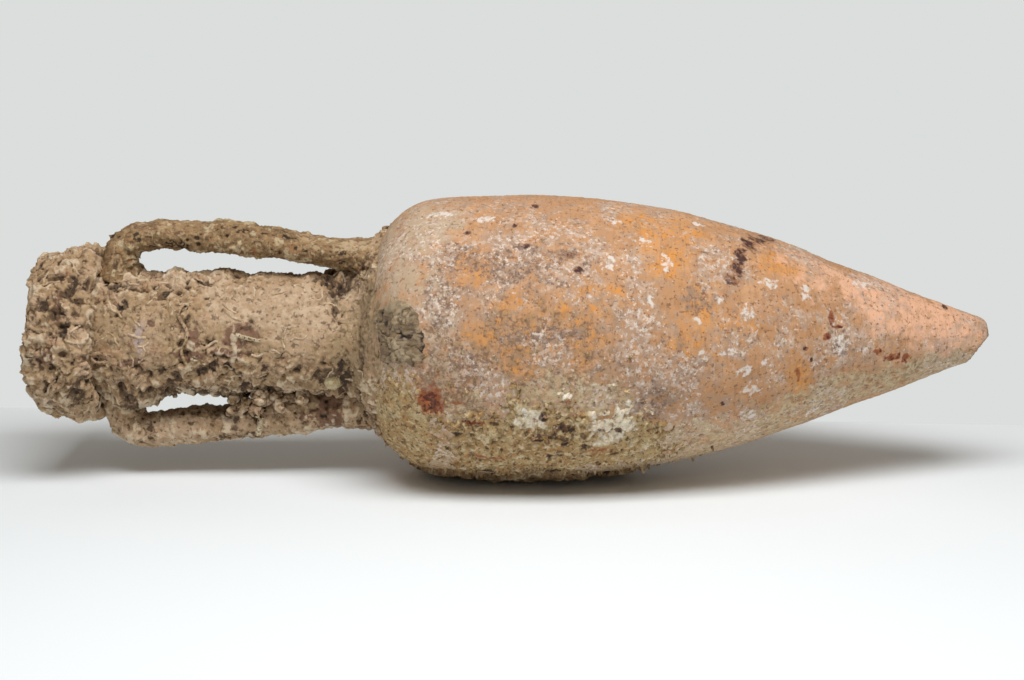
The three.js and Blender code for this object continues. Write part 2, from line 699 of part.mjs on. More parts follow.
// Moves a solid from the jar's own frame to the ground and names it.
function place(name, solid, material) {
  const geometry = geometryOf(solid.translate([-tipStation / 2, 0, BELLY_RADIUS + REST_CLEARANCE]));
  const mesh = new THREE.Mesh(geometry, material);
  mesh.name = name;
  part.add(mesh);
}

function placeThrownBody() {
  place('rim_collar', collarRim(), paleClay());
  place('neck', neck(), paleClay());
  place('shoulder', shoulder(), paleClay());
  place('belly', belly(), firedClay());
  place('lower_body', lowerBody(), firedClay());
  place('toe_spike', toeSpike(), firedClay());
}

const blank = bodyBlank(JOINT_GAP);
const grownStraps = { upper: strapSolid(1, JOINT_GAP), lower: strapSolid(-1, JOINT_GAP) };
const tubes = {
  coil_worm_tube: coilLine(),
  neck_worm_tube: neckTubeLine(),
  stick_worm_tube: stickLine(),
  handle_worm_tube: handleTubeLine(),
};
const grownTubes = Object.values(tubes).map((line) => pipe(line, TUBE_RADIUS + JOINT_GAP));
const grownLumps = [noduleRow(JOINT_GAP), clamDome(JOINT_GAP)];

function placeHandles() {
  place('upper_handle', trim(strapSolid(1), blank), handleClay());
  place('lower_handle', trim(strapSolid(-1), blank), handleClay());
}

function placeNeckCrusts() {
  const straps = Object.values(grownStraps);
  place('rim_crust', rimCoat(), limyCrust());
  place('neck_crust', trim(neckCoat(), ...straps, ...grownTubes, ...grownLumps), limyCrust());
  place('root_crust', trim(rootCoat(), ...straps, oysterPlate(JOINT_GAP)), darkCrust());
}

function placeHandleCrusts() {
  const masses = [neckCoat(JOINT_GAP), rootCoat(JOINT_GAP)];
  const upper = strapCoat(1, 5, 14, UPPER_HANDLE_CRUST, 1);
  const lower = strapCoat(-1, 3, 15, LOWER_HANDLE_CRUST, 2);
  place('upper_handle_crust', trim(upper, ...masses), darkCrust());
  place('lower_handle_crust', trim(lower, ...masses, ...grownTubes, ...grownLumps), limyCrust());
  place('gap_nodules', trim(noduleRow(), blank, grownStraps.lower), limyCrust());
}

function placeBodyCrusts() {
  const shoulderStart = rootCrustEnd + JOINT_GAP;
  const shoulderEnd = shoulderStart + SHOULDER_CRUST_LENGTH;
  const bellyStart = shoulderEnd + JOINT_GAP;
  const edge = DOWN + REST_HALF_ANGLE + REST_EDGE;
  const veneer = patch(shoulderStart, shoulderEnd, edge, SHOULDER_CRUST_ANGLE, SHOULDER_CRUST, 6);
  const mass = patch(bellyStart, bellyStart + BELLY_CRUST_LENGTH, edge, BELLY_CRUST_ANGLE, BELLY_CRUST, 7);
  place('shoulder_crust', veneer, greenCrust());
  place('belly_crust', mass, greenCrust());
  place('rest_crust', restCoat(), darkCrust());
}

function placeShellsAndTubes() {
  place('oyster_shell', oysterPlate(), oysterShell());
  place('clam_shell', trim(clamDome(), blank), clamShell());
  Object.entries(tubes).forEach(([name, line]) => place(name, wormTube(line), wormLime()));
}

placeThrownBody();
placeHandles();
placeNeckCrusts();
placeHandleCrusts();
placeBodyCrusts();
placeShellsAndTubes();

export default part;
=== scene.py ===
"""Looks of a wine amphora from the sea, lying on its side under a crust of lime, shells and worm tubes.

The frame is in metres, with +X from mouth to toe and +Z up. Places on the jar are given in
millimetres along X from its middle, and in degrees round its axis: 0 is the top, 90 the back,
180 the underside and -90 the front.
"""

import logging
import math
from collections.abc import Callable
from dataclasses import dataclass
from enum import Enum
from functools import cached_property

import bmesh
import bpy
import numpy as np
from mathutils import Matrix, Vector
from mathutils.bvhtree import BVHTree


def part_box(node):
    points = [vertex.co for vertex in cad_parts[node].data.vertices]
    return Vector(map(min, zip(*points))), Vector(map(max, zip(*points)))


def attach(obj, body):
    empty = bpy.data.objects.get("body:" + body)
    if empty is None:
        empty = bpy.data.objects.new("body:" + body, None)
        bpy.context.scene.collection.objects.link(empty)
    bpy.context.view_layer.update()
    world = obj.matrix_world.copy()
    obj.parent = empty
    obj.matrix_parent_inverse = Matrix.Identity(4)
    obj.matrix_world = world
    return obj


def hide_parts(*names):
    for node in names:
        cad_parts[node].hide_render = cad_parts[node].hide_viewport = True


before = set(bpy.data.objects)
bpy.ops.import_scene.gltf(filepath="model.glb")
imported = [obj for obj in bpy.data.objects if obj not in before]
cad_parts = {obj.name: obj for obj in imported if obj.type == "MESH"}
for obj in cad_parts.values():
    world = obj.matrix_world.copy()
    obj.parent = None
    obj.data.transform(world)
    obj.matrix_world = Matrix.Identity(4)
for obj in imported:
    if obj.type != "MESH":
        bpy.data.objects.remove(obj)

Array = np.ndarray
Mesh = bpy.types.Mesh
Socket = bpy.types.NodeSocket
Tree = bpy.types.NodeTree
Span = tuple[float, float]  # a start and an end
Point = tuple[float, float, float]
Knots = tuple[tuple[float, float], ...]  # rows of a place along the jar and a reach

log = logging.getLogger("amphora")
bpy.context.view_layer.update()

MM = 0.001
AXIS_HEIGHT = 149 * MM  # the jar's axis over the shelf
NECK_REACH = 57.0  # mm from the axis to the neck's side
FEATHER = 0.8  # mm of crust at a mass's edge, as in the solids
RIM_SETBACK = 10.0  # mm that the worn rim stands behind the solid one
HIDDEN = 1.6  # mm that a crust dives under the clay where it ends
SHELF_GAP = 0.2 * MM  # how near to the shelf the crust comes
COARSER = 1.0
OUTLINE_STEP = 0.5 * MM
MIRRORINGS = 3  # a full turn is a spun sector, mirrored this often
SAME_POINT = 0.001 * MM  # points nearer than this are one
INNER_STEPS = 10  # about how many steps the coarse inner side of a wall has
SHARP_ANGLE = math.radians(75)
TUBE_SIDE = Vector((0.3, 0.2, 0.93))  # the width of a worm tube keeps close to this


# Random fields


class Noise:
    """Random fields over points, the same on every run."""

    CORNERS = np.array([(i & 1, i >> 1 & 1, i >> 2) for i in range(8)], np.float32)
    NEIGHBOURS = np.array([(i % 3 - 1, i // 3 % 3 - 1, i // 9 - 1) for i in range(27)], np.float32)
    GRADIENTS = np.array(
        [(a, b, 0) for a in (1, -1) for b in (1, -1)]
        + [(a, 0, b) for a in (1, -1) for b in (1, -1)]
        + [(0, a, b) for a in (1, -1) for b in (1, -1)],
        np.float32,
    )
    BITS = 1023  # three jitters of ten bits come from one hash

    @staticmethod
    def scatter(cells: Array, seed: int) -> Array:
        """Hashes whole-numbered cells.

        Args:
            cells: One row of three whole numbers per cell.
            seed: Which of the random fields to draw from.

        Returns:
            A 32-bit number per cell.
        """
        n = cells.astype(np.int32).view(np.uint32)
        h = n[:, 0] * np.uint32(374761393) ^ n[:, 1] * np.uint32(668265263)
        h ^= n[:, 2] * np.uint32(2246822519) ^ np.uint32(seed * 977 + 131)
        h = (h ^ h >> np.uint32(15)) * np.uint32(2654435761)
        h = (h ^ h >> np.uint32(13)) * np.uint32(3266489917)
        return h ^ h >> np.uint32(16)

    @classmethod
    def octave(cls, points: Array, seed: int) -> Array:
        """One octave of gradient noise, whose lumps are about one unit across.

        Args:
            points: One row of three coordinates per point.
            seed: Which of the random fields to draw from.

        Returns:
            A value from about -1 to 1 per point.
        """
        cell = np.floor(points)
        inside = points - cell
        fade = inside**3 * (inside * (inside * 6 - 15) + 10)
        total = np.zeros(len(points), np.float32)
        for corner in cls.CORNERS:
            slope = cls.GRADIENTS[cls.scatter(cell + corner, seed) % 12]
            weight = np.prod(np.where(corner > 0, fade, 1 - fade), axis=1)
            total += weight * np.einsum("ij,ij->i", inside - corner, slope)
        return total * 1.6

    @classmethod
    def clouds(cls, points: Array, size: float, seed: int = 0, octaves: int = 3) -> Array:
        """Fractal lumps and hollows.

        Args:
            points: One row of three coordinates per point, in metres.
            size: Width of the largest lumps, in metres.
            seed: Which of the random fields to draw from.
            octaves: How many times the field is halved in size and added.

        Returns:
            A value from about -1 to 1 per point.
        """
        scaled = (points / size).astype(np.float32) + 17
        total = np.zeros(len(points), np.float32)
        for k in range(octaves):
            total += cls.octave(scaled * 2**k, seed + 31 * k) * 0.5**k
        return total

    @classmethod
    def cells(cls, points: Array, size: float, seed: int = 0) -> tuple[Array, Array]:
        """Distances to the nearest of many scattered centres.

        Args:
            points: One row of three coordinates per point, in metres.
            size: Usual distance between two centres, in metres.
            seed: Which of the random fields to draw from.

        Returns:
            The distance in sizes, and a random number from 0 to 1 for the nearest centre.
        """
        scaled = (points / size).astype(np.float32) + 23
        cell = np.floor(scaled)
        nearest = np.full(len(points), 9.0, np.float32)
        chosen = np.zeros(len(points), np.float32)
        for step in cls.NEIGHBOURS:
            h = cls.scatter(cell + step, seed)
            jitter = np.stack([h & cls.BITS, h >> 10 & cls.BITS, h >> 20 & cls.BITS], 1) / cls.BITS
            gap = np.sum((cell + step + jitter - scaled) ** 2, axis=1)
            closer = gap < nearest
            nearest[closer] = gap[closer]
            chosen[closer] = (h[closer] * np.uint32(2654435761) >> 12 & cls.BITS) / cls.BITS
        return np.sqrt(nearest), chosen


def ramp(value: Array, start: float, end: float) -> Array:
    """A smooth rise from 0 at start to 1 at end, or a fall where end is the lower."""
    t = np.clip((value - start) / (end - start), 0, 1)
    return t * t * (3 - 2 * t)


def swelling(along: Array, places: "Places", seed: float, lobes: int = 3) -> Array:
    """The slow, uneven swelling that the solids' crusts have.

    Args:
        along: How far along the crust each place lies, times the number of swellings.
        places: The places.
        seed: Which of the swellings to follow.
        lobes: How many swellings there are round the jar.

    Returns:
        A number from 0 to 1 per place.
    """
    turn = np.radians(places.angle)
    length = np.sin(1.7 * along + seed)
    girth = np.sin(lobes * turn + 1.9 * seed)
    across = np.sin(3.1 * along - (lobes + 2) * turn + seed)
    return 0.5 + (length + girth + across) / 6


class Places:
    """Points on or near the jar, with where they lie round its axis."""

    def __init__(self, points: Array, normals: Array) -> None:
        """Works out the points' places.

        Args:
            points: One row of three coordinates per point, in metres.
            normals: Which way the surface faces at each point.
        """
        self.points = points
        self.x = points[:, 0]
        rise = points[:, 2] - AXIS_HEIGHT
        self.reach = np.hypot(points[:, 1], rise)
        self.angle = np.degrees(np.arctan2(points[:, 1], rise))
        outward = np.stack([points[:, 1], rise], 1) / np.maximum(self.reach, MM)[:, None]
        self.outward = np.einsum("ij,ij->i", normals[:, 1:], outward)


@dataclass(frozen=True)
class Mark:
    """A ragged patch on the jar, in millimetres and degrees."""

    x: float
    angle: float
    along: float  # half its length, along the jar
    around: float  # half its width, round the jar
    soft: float = 0.45  # half the width of its faded edge, as a share of its size
    strength: float = 1.0
    turn: float = 0.0  # degrees from the jar's length
    ragged: float = 0.35  # how far its edge wanders, as a share of its size

    def cover(self, places: Places) -> Array:
        """How far each place lies inside the patch, from 0 to its strength.

        Args:
            places: The places to test.

        Returns:
            One number per place.
        """
        slide = (places.x / MM - self.x).astype(np.float32)
        swing = np.radians((places.angle - self.angle + 180) % 360 - 180)
        swing = swing * np.maximum(places.reach, 30 * MM) / MM
        c, s = math.cos(math.radians(self.turn)), math.sin(math.radians(self.turn))
        u = (slide * c + swing * s) / self.along
        v = (swing * c - slide * s) / self.around
        distance = np.hypot(u, v)
        result = np.zeros(len(distance), np.float32)
        near = distance < 1 + self.soft + 2 * self.ragged
        if near.any():
            size = max(5.0, 0.7 * min(self.along, self.around)) * MM
            wander = Noise.clouds(places.points[near], size, int(self.x + 3 * self.angle) % 997)
            reach = distance[near] + self.ragged * wander
            result[near] = ramp(reach, 1 + self.soft, 1 - self.soft) * self.strength
        return result


Marks = tuple[Mark, ...]
Extras = tuple[tuple[Mark, float], ...]  # marks, with the millimetres that they add


def marks(*rows: tuple[float, ...], **shared: float) -> Marks:
    """Marks from rows of their numbers in a mark's order, and the numbers that all share."""
    return tuple(Mark(*row, **shared) for row in rows)


@dataclass(frozen=True)
class Plate:
    """An angular patch on the jar: the corners of a convex outline, in millimetres and degrees."""

    corners: Knots  # millimetres along the jar, and degrees round it
    reach: float  # mm from the axis, which turns degrees into widths
    soft: float = 2.5
    ragged: float = 2.5

    def cover(self, places: Places) -> Array:
        """How far each place lies inside the patch, from 0 to 1.

        Args:
            places: The places to test.

        Returns:
            One number per place.
        """
        width = math.radians(1) * self.reach
        spots = np.stack([places.x / MM, places.angle * width], 1)
        corners = np.array(self.corners) * (1, width)
        middle = corners.mean(axis=0)
        inside = np.full(len(spots), 1e3)
        for start, end in zip(corners, np.roll(corners, -1, axis=0)):
            run = (end - start) / np.linalg.norm(end - start)
            side = np.array((-run[1], run[0]))
            side *= np.sign((middle - start) @ side)
            inside = np.minimum(inside, (spots - start) @ side)
        inside += self.ragged * Noise.clouds(places.points, 9 * MM, 91)
        return ramp(inside, 0, self.soft)


@dataclass(frozen=True)
class Lump:
    """A large lump on the neck's crust, as the solid has it."""

    x: float
    angle: float
    width: float
    height: float

    def rise_at(self, places: Places) -> Array:
        """The height in millimetres that the lump adds at each place."""
        swing = np.radians(places.angle - self.angle) / 2
        chord = 2 * NECK_REACH * np.sin(swing)
        return self.height * ramp(np.hypot(places.x / MM - self.x, chord), self.width, 0)


def painted(places: Places, marks: Marks) -> Array:
    """The strongest of several marks at each place.

    Args:
        places: The places to paint.
        marks: The marks on them.

    Returns:
        A number from 0 to 1 per place.
    """
    result = np.zeros(len(places.x), np.float32)
    for mark in marks:
        result = np.maximum(result, mark.cover(places))
    return result


class Form(Enum):
    """What one grain of relief looks like."""

    CLOUDS = "soft lumps and hollows"
    RIDGES = "sharp crests between hollows"
    CREASES = "narrow wandering furrows"
    DOMES = "round knobs with sharp valleys"
    PITS = "scattered round holes"
    RINGS = "scattered crater walls"
    STEPS = "flat layers with broken edges"
    TURNS = "shallow grooves left by the wheel"


@dataclass(frozen=True)
class Grain:
    """One size of relief, in millimetres."""

    form: Form
    size: float
    height: float
    seed: int = 0
    share: float = 1.0  # how many of the cells carry a knob, hole or crater
    octaves: int = 2

    def relief(self, places: Places) -> Array:
        """The height in metres that this grain adds at each place."""
        return self._shape(places) * self.height * MM

    def _shape(self, places: Places) -> Array:
        """The grain's form, from about -1 to 1."""
        size = self.size * MM
        if self.form is Form.TURNS:
            drift = Noise.clouds(places.points, 60 * MM, self.seed, 1)
            return np.sin(2 * math.pi * places.x / size + 3 * drift) * (0.5 + 0.5 * drift)
        if self.form in (Form.DOMES, Form.PITS, Form.RINGS):
            return self._cell_shape(places.points, size)
        cloud = Noise.clouds(places.points, size, self.seed, self.octaves)
        if self.form is Form.RIDGES:
            return 1 - 2.4 * np.abs(cloud)
        if self.form is Form.CREASES:
            return -ramp(np.abs(cloud), 0.14, 0.0)
        if self.form is Form.STEPS:
            level = cloud * 3
            return (np.floor(level) + ramp(level - np.floor(level), 0.0, 0.22)) / 3
        return cloud

    def _cell_shape(self, points: Array, size: float) -> Array:
        """The form of a grain that is made of scattered cells."""
        bend = size * 0.35
        wobble = [Noise.octave(points / (size * 0.9) + 9 * k, self.seed + k) for k in range(2)]
        bent = points + bend * np.stack([wobble[0], wobble[1], wobble[0] * 0.5], 1)
        distance, pick = Noise.cells(bent, size, self.seed)
        carries = pick < self.share
        radius = 0.3 + 0.35 * (pick / self.share % 1)
        if self.form is Form.DOMES:
            return np.sqrt(np.clip(1 - (distance / radius) ** 2, 0, 1)) * carries
        if self.form is Form.PITS:
            return -ramp(distance, radius * 0.9, radius * 0.45) * carries
        wall = np.exp(-(((distance - radius * 0.7) / 0.1) ** 2))
        return (wall - 0.9 * ramp(distance, radius * 0.6, radius * 0.3)) * carries


Grains = tuple[Grain, ...]


def relief_of(places: Places, grains: Grains) -> Array:
    """The sum of several grains of relief, in metres.

    Args:
        places: Where the relief is wanted.
        grains: The grains to add up.

    Returns:
        A height per place.
    """
    total = np.zeros(len(places.x), np.float32)
    for grain in grains:
        total += grain.relief(places)
    return total


# Lines and blanks


def smooth_line(knots: Array, step: float) -> Array:
    """Even points along a smooth curve through given ones.

    Args:
        knots: The given points, one row each.
        step: Distance between two new points.

    Returns:
        The new points, one row each.
    """
    knots = np.asarray(knots, float)
    ends = np.vstack([2 * knots[0] - knots[1], knots, 2 * knots[-1] - knots[-2]])
    times = np.cumsum(np.r_[0, np.linalg.norm(np.diff(ends, axis=0), axis=1)])
    spans = np.diff(times)[:, None]
    slopes = np.diff(ends, axis=0) / spans
    tangents = (slopes[:-1] * spans[1:] + slopes[1:] * spans[:-1]) / (spans[:-1] + spans[1:])
    fine = []
    for i in range(len(knots) - 1):
        span = times[i + 2] - times[i + 1]
        t = np.linspace(0, 1, max(2, int(span / step * 2)), endpoint=False)[:, None]
        fine.append(
            (2 * t**3 - 3 * t**2 + 1) * knots[i]
            + (t**3 - 2 * t**2 + t) * span * tangents[i]
            + (3 * t**2 - 2 * t**3) * knots[i + 1]
            + (t**3 - t**2) * span * tangents[i + 1]
        )
    return even_line(np.vstack([*fine, knots[-1:]]), step)


def even_line(points: Array, step: float) -> Array:
    """Even points along a line of straight pieces.

    Args:
        points: The line's points, one row each.
        step: Distance between two new points.

    Returns:
        The new points, one row each.
    """
    length = np.cumsum(np.r_[0, np.linalg.norm(np.diff(points, axis=0), axis=1)])
    wanted = np.linspace(0, length[-1], max(2, round(length[-1] / step) + 1))
    return np.stack([np.interp(wanted, length, column) for column in points.T], 1)


def headings(line: Array) -> Array:
    """The direction of a line at each of its points, one row each."""
    run = np.gradient(line, axis=0)
    return run / np.linalg.norm(run, axis=1)[:, None]


def faced(line: Array) -> Array:
    """Rows of place and radius, with the two parts of their outward direction."""
    run = headings(line)
    return np.column_stack([line, -run[:, 1], run[:, 0]])


@dataclass(frozen=True)
class Outline:
    """A turned outline through knots of place and radius, in millimetres."""

    knots: Knots

    @cached_property
    def line(self) -> Array:
        """The outline in metres, with the two parts of its outward direction."""
        return faced(smooth_line(np.array(self.knots) * MM, OUTLINE_STEP))

    def cut(self, start: float, end: float, step: float) -> Array:
        """Part of the outline in even steps.

        Args:
            start: Where the part starts, in millimetres along the jar.
            end: Where it ends.
            step: Distance between two points, in metres.

        Returns:
            Rows of place, radius and the two parts of the outward direction.
        """
        line = self.line
        length = np.arange(len(line)) * OUTLINE_STEP
        first, last = np.interp([start * MM, end * MM], line[:, 0], length)
        wanted = np.linspace(first, last, max(2, round((last - first) / step) + 1))
        return np.stack([np.interp(wanted, length, column) for column in line.T], 1)


def move_points(mesh: Mesh, points: Array) -> None:
    """Puts a mesh's points where the rows say."""
    mesh.vertices.foreach_set("co", points.astype(np.float32).ravel())


@dataclass
class Blank:
    """A mesh before its relief, with how much relief each of its points takes."""

    mesh: Mesh
    points: Array
    normals: Array
    skin: Array

    @property
    def places(self) -> Places:
        """Where the blank's points lie on the jar."""
        return Places(self.points, self.normals)

    def raise_by(self, height: Array) -> None:
        """Moves the points outwards.

        Args:
            height: How far each point moves at full skin, in metres.
        """
        self.move(self.points + self.normals * (height * self.skin)[:, None])

    def move(self, points: Array) -> None:
        """Puts the blank's points where the rows say."""
        self.points = points
        move_points(self.mesh, points)

    def note(self, name: str, values: Array) -> None:
        """Stores a number per point that the finish reads by name."""
        layer = self.mesh.attributes.new(name, "FLOAT", "POINT")
        layer.data.foreach_set("value", values.astype(np.float32))

    def stain(self, places: Places, group: object, layers: tuple[str, ...], prefix: str = "") -> None:
        """Notes where the marks of a sub-assembly lie.

        Args:
            places: Where the blank's points count as lying.
            group: The sub-assembly that has the marks.
            layers: The names of the layers, and of the sub-assembly's marks.
            prefix: What the names of the marks start with.
        """
        for layer in layers:
            self.note(layer, painted(places, getattr(group, prefix + layer, ())))


def read_layer(mesh: Mesh, name: str) -> Array:
    """Takes a layer of numbers off a mesh.

    Args:
        mesh: The mesh that carries the layer.
        name: The layer's name.

    Returns:
        One number per point.
    """
    values = np.zeros(len(mesh.vertices), np.float32)
    mesh.attributes[name].data.foreach_get("value", values)
    mesh.attributes.remove(mesh.attributes[name])
    return values


def read_points(mesh: Mesh) -> Array:
    """The mesh's points, one row each."""
    points = np.zeros(len(mesh.vertices) * 3, np.float32)
    mesh.vertices.foreach_get("co", points)
    return points.reshape(-1, 3)


def mesh_from(bm: bmesh.types.BMesh, name: str) -> Mesh:
    """Turns an edited mesh into a finished one with its faces outwards.

    Args:
        bm: The edited mesh, which is freed.
        name: The finished mesh's name.

    Returns:
        The finished mesh.
    """
    bmesh.ops.recalc_face_normals(bm, faces=bm.faces[:])
    mesh = bpy.data.meshes.new(name)
    bm.to_mesh(mesh)
    bm.free()
    return mesh


def face_outwards(mesh: Mesh) -> None:
    """Turns a mesh's faces outwards again after its points have moved."""
    bm = bmesh.new()
    bm.from_mesh(mesh)
    bmesh.ops.recalc_face_normals(bm, faces=bm.faces[:])
    bm.to_mesh(mesh)
    bm.free()


def turned(name: str, profile: Array, sides: int, closed: bool = True) -> Blank:
    """Turns a profile about the jar's axis, as on a wheel.

    Args:
        name: The mesh's name.
        profile: Rows of place, radius, outward direction (two parts) and share of the relief.
        sides: How many steps make a full turn.
        closed: Whether the profile's last point joins its first.

    Returns:
        The turned blank.
    """
    bm = bmesh.new()
    layers = [bm.verts.layers.float.new(layer) for layer in ("lean", "lift", "skin")]
    chain = []
    for place, radius, *extra in profile:
        vert = bm.verts.new((place, 0, radius))
        for layer, value in zip(layers, extra):
            vert[layer] = value
        chain.append(vert)
    ends = chain[1:] + chain[:1] if closed else chain[1:]
    edges = [bm.edges.new(pair) for pair in zip(chain, ends)]
    sector = 2 * math.pi / 2**MIRRORINGS
    steps = max(3, round(sides / COARSER / 2**MIRRORINGS))
    swept = chain + edges
    bmesh.ops.spin(bm, geom=swept, cent=(0, 0, 0), axis=(1, 0, 0), angle=sector, steps=steps)
    bmesh.ops.remove_doubles(bm, verts=bm.verts[:], dist=SAME_POINT)
    for k in range(MIRRORINGS):
        whole = bm.verts[:] + bm.edges[:] + bm.faces[:]
        bmesh.ops.mirror(bm, geom=whole, matrix=Matrix(), merge_dist=SAME_POINT, axis="Y")
        swing = Matrix.Rotation(sector * 2**k, 3, "X")
        bmesh.ops.rotate(bm, verts=bm.verts[:], cent=(0, 0, 0), matrix=swing)
    bmesh.ops.translate(bm, verts=bm.verts[:], vec=(0, 0, AXIS_HEIGHT))
    mesh = mesh_from(bm, name)
    lean, lift, skin = (read_layer(mesh, layer) for layer in ("lean", "lift", "skin"))
    points = read_points(mesh)
    spoke = points[:, 1:] - (0, AXIS_HEIGHT)
    spoke /= np.maximum(np.linalg.norm(spoke, axis=1), 1e-9)[:, None]
    normals = np.column_stack([lean, spoke * lift[:, None]])
    return Blank(mesh, points, normals, skin)


def shell_profile(outer: Array, wall: float) -> Array:
    """A closed profile: a finely stepped skin and, a wall's thickness inside, a coarse one.

    Args:
        outer: Rows of place, radius and outward direction (two parts).
        wall: Thickness of the wall, in metres.

    Returns:
        Rows of place, radius, outward direction and share of the relief.
    """
    back = outer[:: -max(1, len(outer) // INNER_STEPS)]
    back = np.vstack([back, outer[:1]]) if back[-1, 0] != outer[0, 0] else back
    inside = back[:, :2] - wall * back[:, 2:]
    inside[:, 1] = np.maximum(inside[:, 1], MM)
    skin = np.column_stack([outer, np.ones(len(outer))])
    return np.vstack([skin, np.column_stack([inside, back[:, 2:], np.zeros(len(back))])])


@dataclass
class Hoops:
    """The rings that a tube runs through: a middle, a half width and a half depth for each."""

    middle: Array
    across: Array
    outwards: Array
    skin: Array

    @classmethod
    def along(cls, line: Array, width: Array, depth: Array, side: Vector) -> "Hoops":
        """Rings square to a line.

        Args:
            line: The line's points, one row each.
            width: Half the tube's width at each point.
            depth: Half its depth at each point.
            side: A direction that the width keeps close to.

        Returns:
            The rings.
        """
        run = headings(line)
        across = np.array(side) - run * (run @ np.array(side))[:, None]
        across /= np.linalg.norm(across, axis=1)[:, None]
        outwards = np.cross(across, run)
        full = np.ones(len(line))
        return cls(line, across * width[:, None], outwards * depth[:, None], full)

    def sleeve(self, wall: float, coarse: int) -> "Hoops":
        """These rings, then back along a coarse inner face, for a hollow tube.

        Args:
            wall: Thickness of the sleeve's wall, in metres.
            coarse: The inner face keeps one ring in this many.

        Returns:
            The rings of a closed sleeve.
        """
        back = np.arange(len(self.middle) - 1, -1, -coarse)
        back = np.r_[back, 0] if back[-1] else back

        def shrunk(vectors: Array) -> Array:
            size = np.linalg.norm(vectors, axis=1)[:, None]
            return vectors * np.maximum(0.2, 1 - wall / size)

        return Hoops(
            np.vstack([self.middle, self.middle[back]]),
            np.vstack([self.across, shrunk(self.across)[back]]),
            np.vstack([self.outwards, shrunk(self.outwards)[back]]),
            np.r_[self.skin, np.zeros(len(back))],
        )


def tube(name: str, hoops: Hoops, sides: int, closed: bool = False) -> Blank:
    """Runs a tube through rings.

    Args:
        name: The mesh's name.
        hoops: The rings.
        sides: How many points each ring has.
        closed: Whether the last ring joins the first, as in a sleeve.

    Returns:
        The tube as a blank.
    """
    count = len(hoops.middle)
    bm = bmesh.new()
    bmesh.ops.create_cone(
        bm, cap_ends=not closed, segments=sides, radius1=1, radius2=1, depth=1, calc_uvs=False
    )
    long_edges = [e for e in bm.edges if abs(e.verts[0].co.z - e.verts[1].co.z) > 0.5]
    bmesh.ops.subdivide_edges(bm, edges=long_edges, cuts=count - 2, use_grid_fill=True)
    ring = bm.verts.layers.float.new("ring")
    turn_x = bm.verts.layers.float.new("turn_x")
    turn_y = bm.verts.layers.float.new("turn_y")
    for vert in bm.verts:
        vert[ring] = (vert.co.z + 0.5) * (count - 1)
        vert[turn_x], vert[turn_y] = vert.co.x, vert.co.y
    if closed:
        bmesh.ops.bridge_loops(bm, edges=[e for e in bm.edges if e.is_boundary])
    mesh = mesh_from(bm, name)
    index = np.round(read_layer(mesh, "ring")).astype(int)
    swing = [read_layer(mesh, layer)[:, None] for layer in ("turn_x", "turn_y")]
    spoke = hoops.across[index] * swing[0] + hoops.outwards[index] * swing[1]
    points = hoops.middle[index] + spoke
    move_points(mesh, points)
    face_outwards(mesh)
    normals = spoke / np.maximum(np.linalg.norm(spoke, axis=1), 1e-9)[:, None]
    return Blank(mesh, points, normals, hoops.skin[index])


def slab(name: str, ends: Span, angles: Span, step: float, sink: float) -> Blank:
    """Lays a patch on the jar's side.

    Args:
        name: The mesh's name.
        ends: Where it starts and ends along the jar, in millimetres.
        angles: Where it starts and ends round the jar, in degrees.
        step: Distance between two of its points, in metres.
        sink: How far its back lies under the clay's outline, in metres.

    Returns:
        The patch as a blank.
    """
    line = BODY_OUTLINE.cut(*ends, step * COARSER)
    girth = math.radians(angles[1] - angles[0]) * line[:, 1].max()
    rows = max(4, round(girth / (step * COARSER)))
    bm = bmesh.new()
    bmesh.ops.create_grid(bm, x_segments=len(line) - 1, y_segments=rows, size=1)
    bmesh.ops.solidify(bm, geom=bm.faces[:], thickness=1)
    mesh = mesh_from(bm, name)
    flat = read_points(mesh)
    front = np.abs(flat[:, 2]) < 0.5
    index = np.round((flat[:, 0] + 1) / 2 * (len(line) - 1)).astype(int)
    angle = np.radians(angles[0] + (flat[:, 1] + 1) / 2 * (angles[1] - angles[0]))
    place, radius, lean, lift = line[index].T
    normals = np.stack([lean, lift * np.sin(angle), lift * np.cos(angle)], 1)
    points = np.stack([place, radius * np.sin(angle), AXIS_HEIGHT + radius * np.cos(angle)], 1)
    points[~front] -= normals[~front] * sink
    move_points(mesh, points)
    face_outwards(mesh)
    return Blank(mesh, points, normals, front.astype(np.float32))


# Finishes


def linear(colour: str) -> tuple[float, float, float, float]:
    """Turns an sRGB hex colour into linear light.

    Args:
        colour: Six hex digits.

    Returns:
        Red, green, blue and a full alpha.
    """
    parts = [int(colour[i : i + 2], 16) / 255 for i in (0, 2, 4)]
    light = [p / 12.92 if p <= 0.04045 else ((p + 0.055) / 1.055) ** 2.4 for p in parts]
    return (*light, 1.0)


def add_node(tree: Tree, kind: str, links: dict, **settings: object) -> bpy.types.Node:
    """Adds one node with its settings, values and links.

    Args:
        tree: The node tree.
        kind: The node's type.
        links: A socket to link, or a value to set, by the input's name or number.
        **settings: The node's own settings.

    Returns:
        The new node.
    """
    node = tree.nodes.new(kind)
    for setting, value in settings.items():
        setattr(node, setting, value)
    for key, value in links.items():
        if isinstance(value, Socket):
            tree.links.new(value, node.inputs[key])
        else:
            node.inputs[key].default_value = value
    return node


def reckon(tree: Tree, operation: str, *values: object) -> Socket:
    """Adds a math node, and gives its result."""
    return add_node(tree, "ShaderNodeMath", dict(enumerate(values)), operation=operation).outputs[0]


def soft_step(tree: Tree, value: Socket, low: float, high: float, top: float) -> Socket:
    """Adds a smooth rise from 0 where the value is low to the top where it is high."""
    links = {0: value, 1: low, 2: high, 3: 0.0, 4: top}
    return add_node(tree, "ShaderNodeMapRange", links, interpolation_type="SMOOTHSTEP").outputs[0]


class Pattern(Enum):
    """How a coat of colour is broken up."""

    CLOUDS = "drifts and blotches"
    FLECKS = "scattered round flecks"


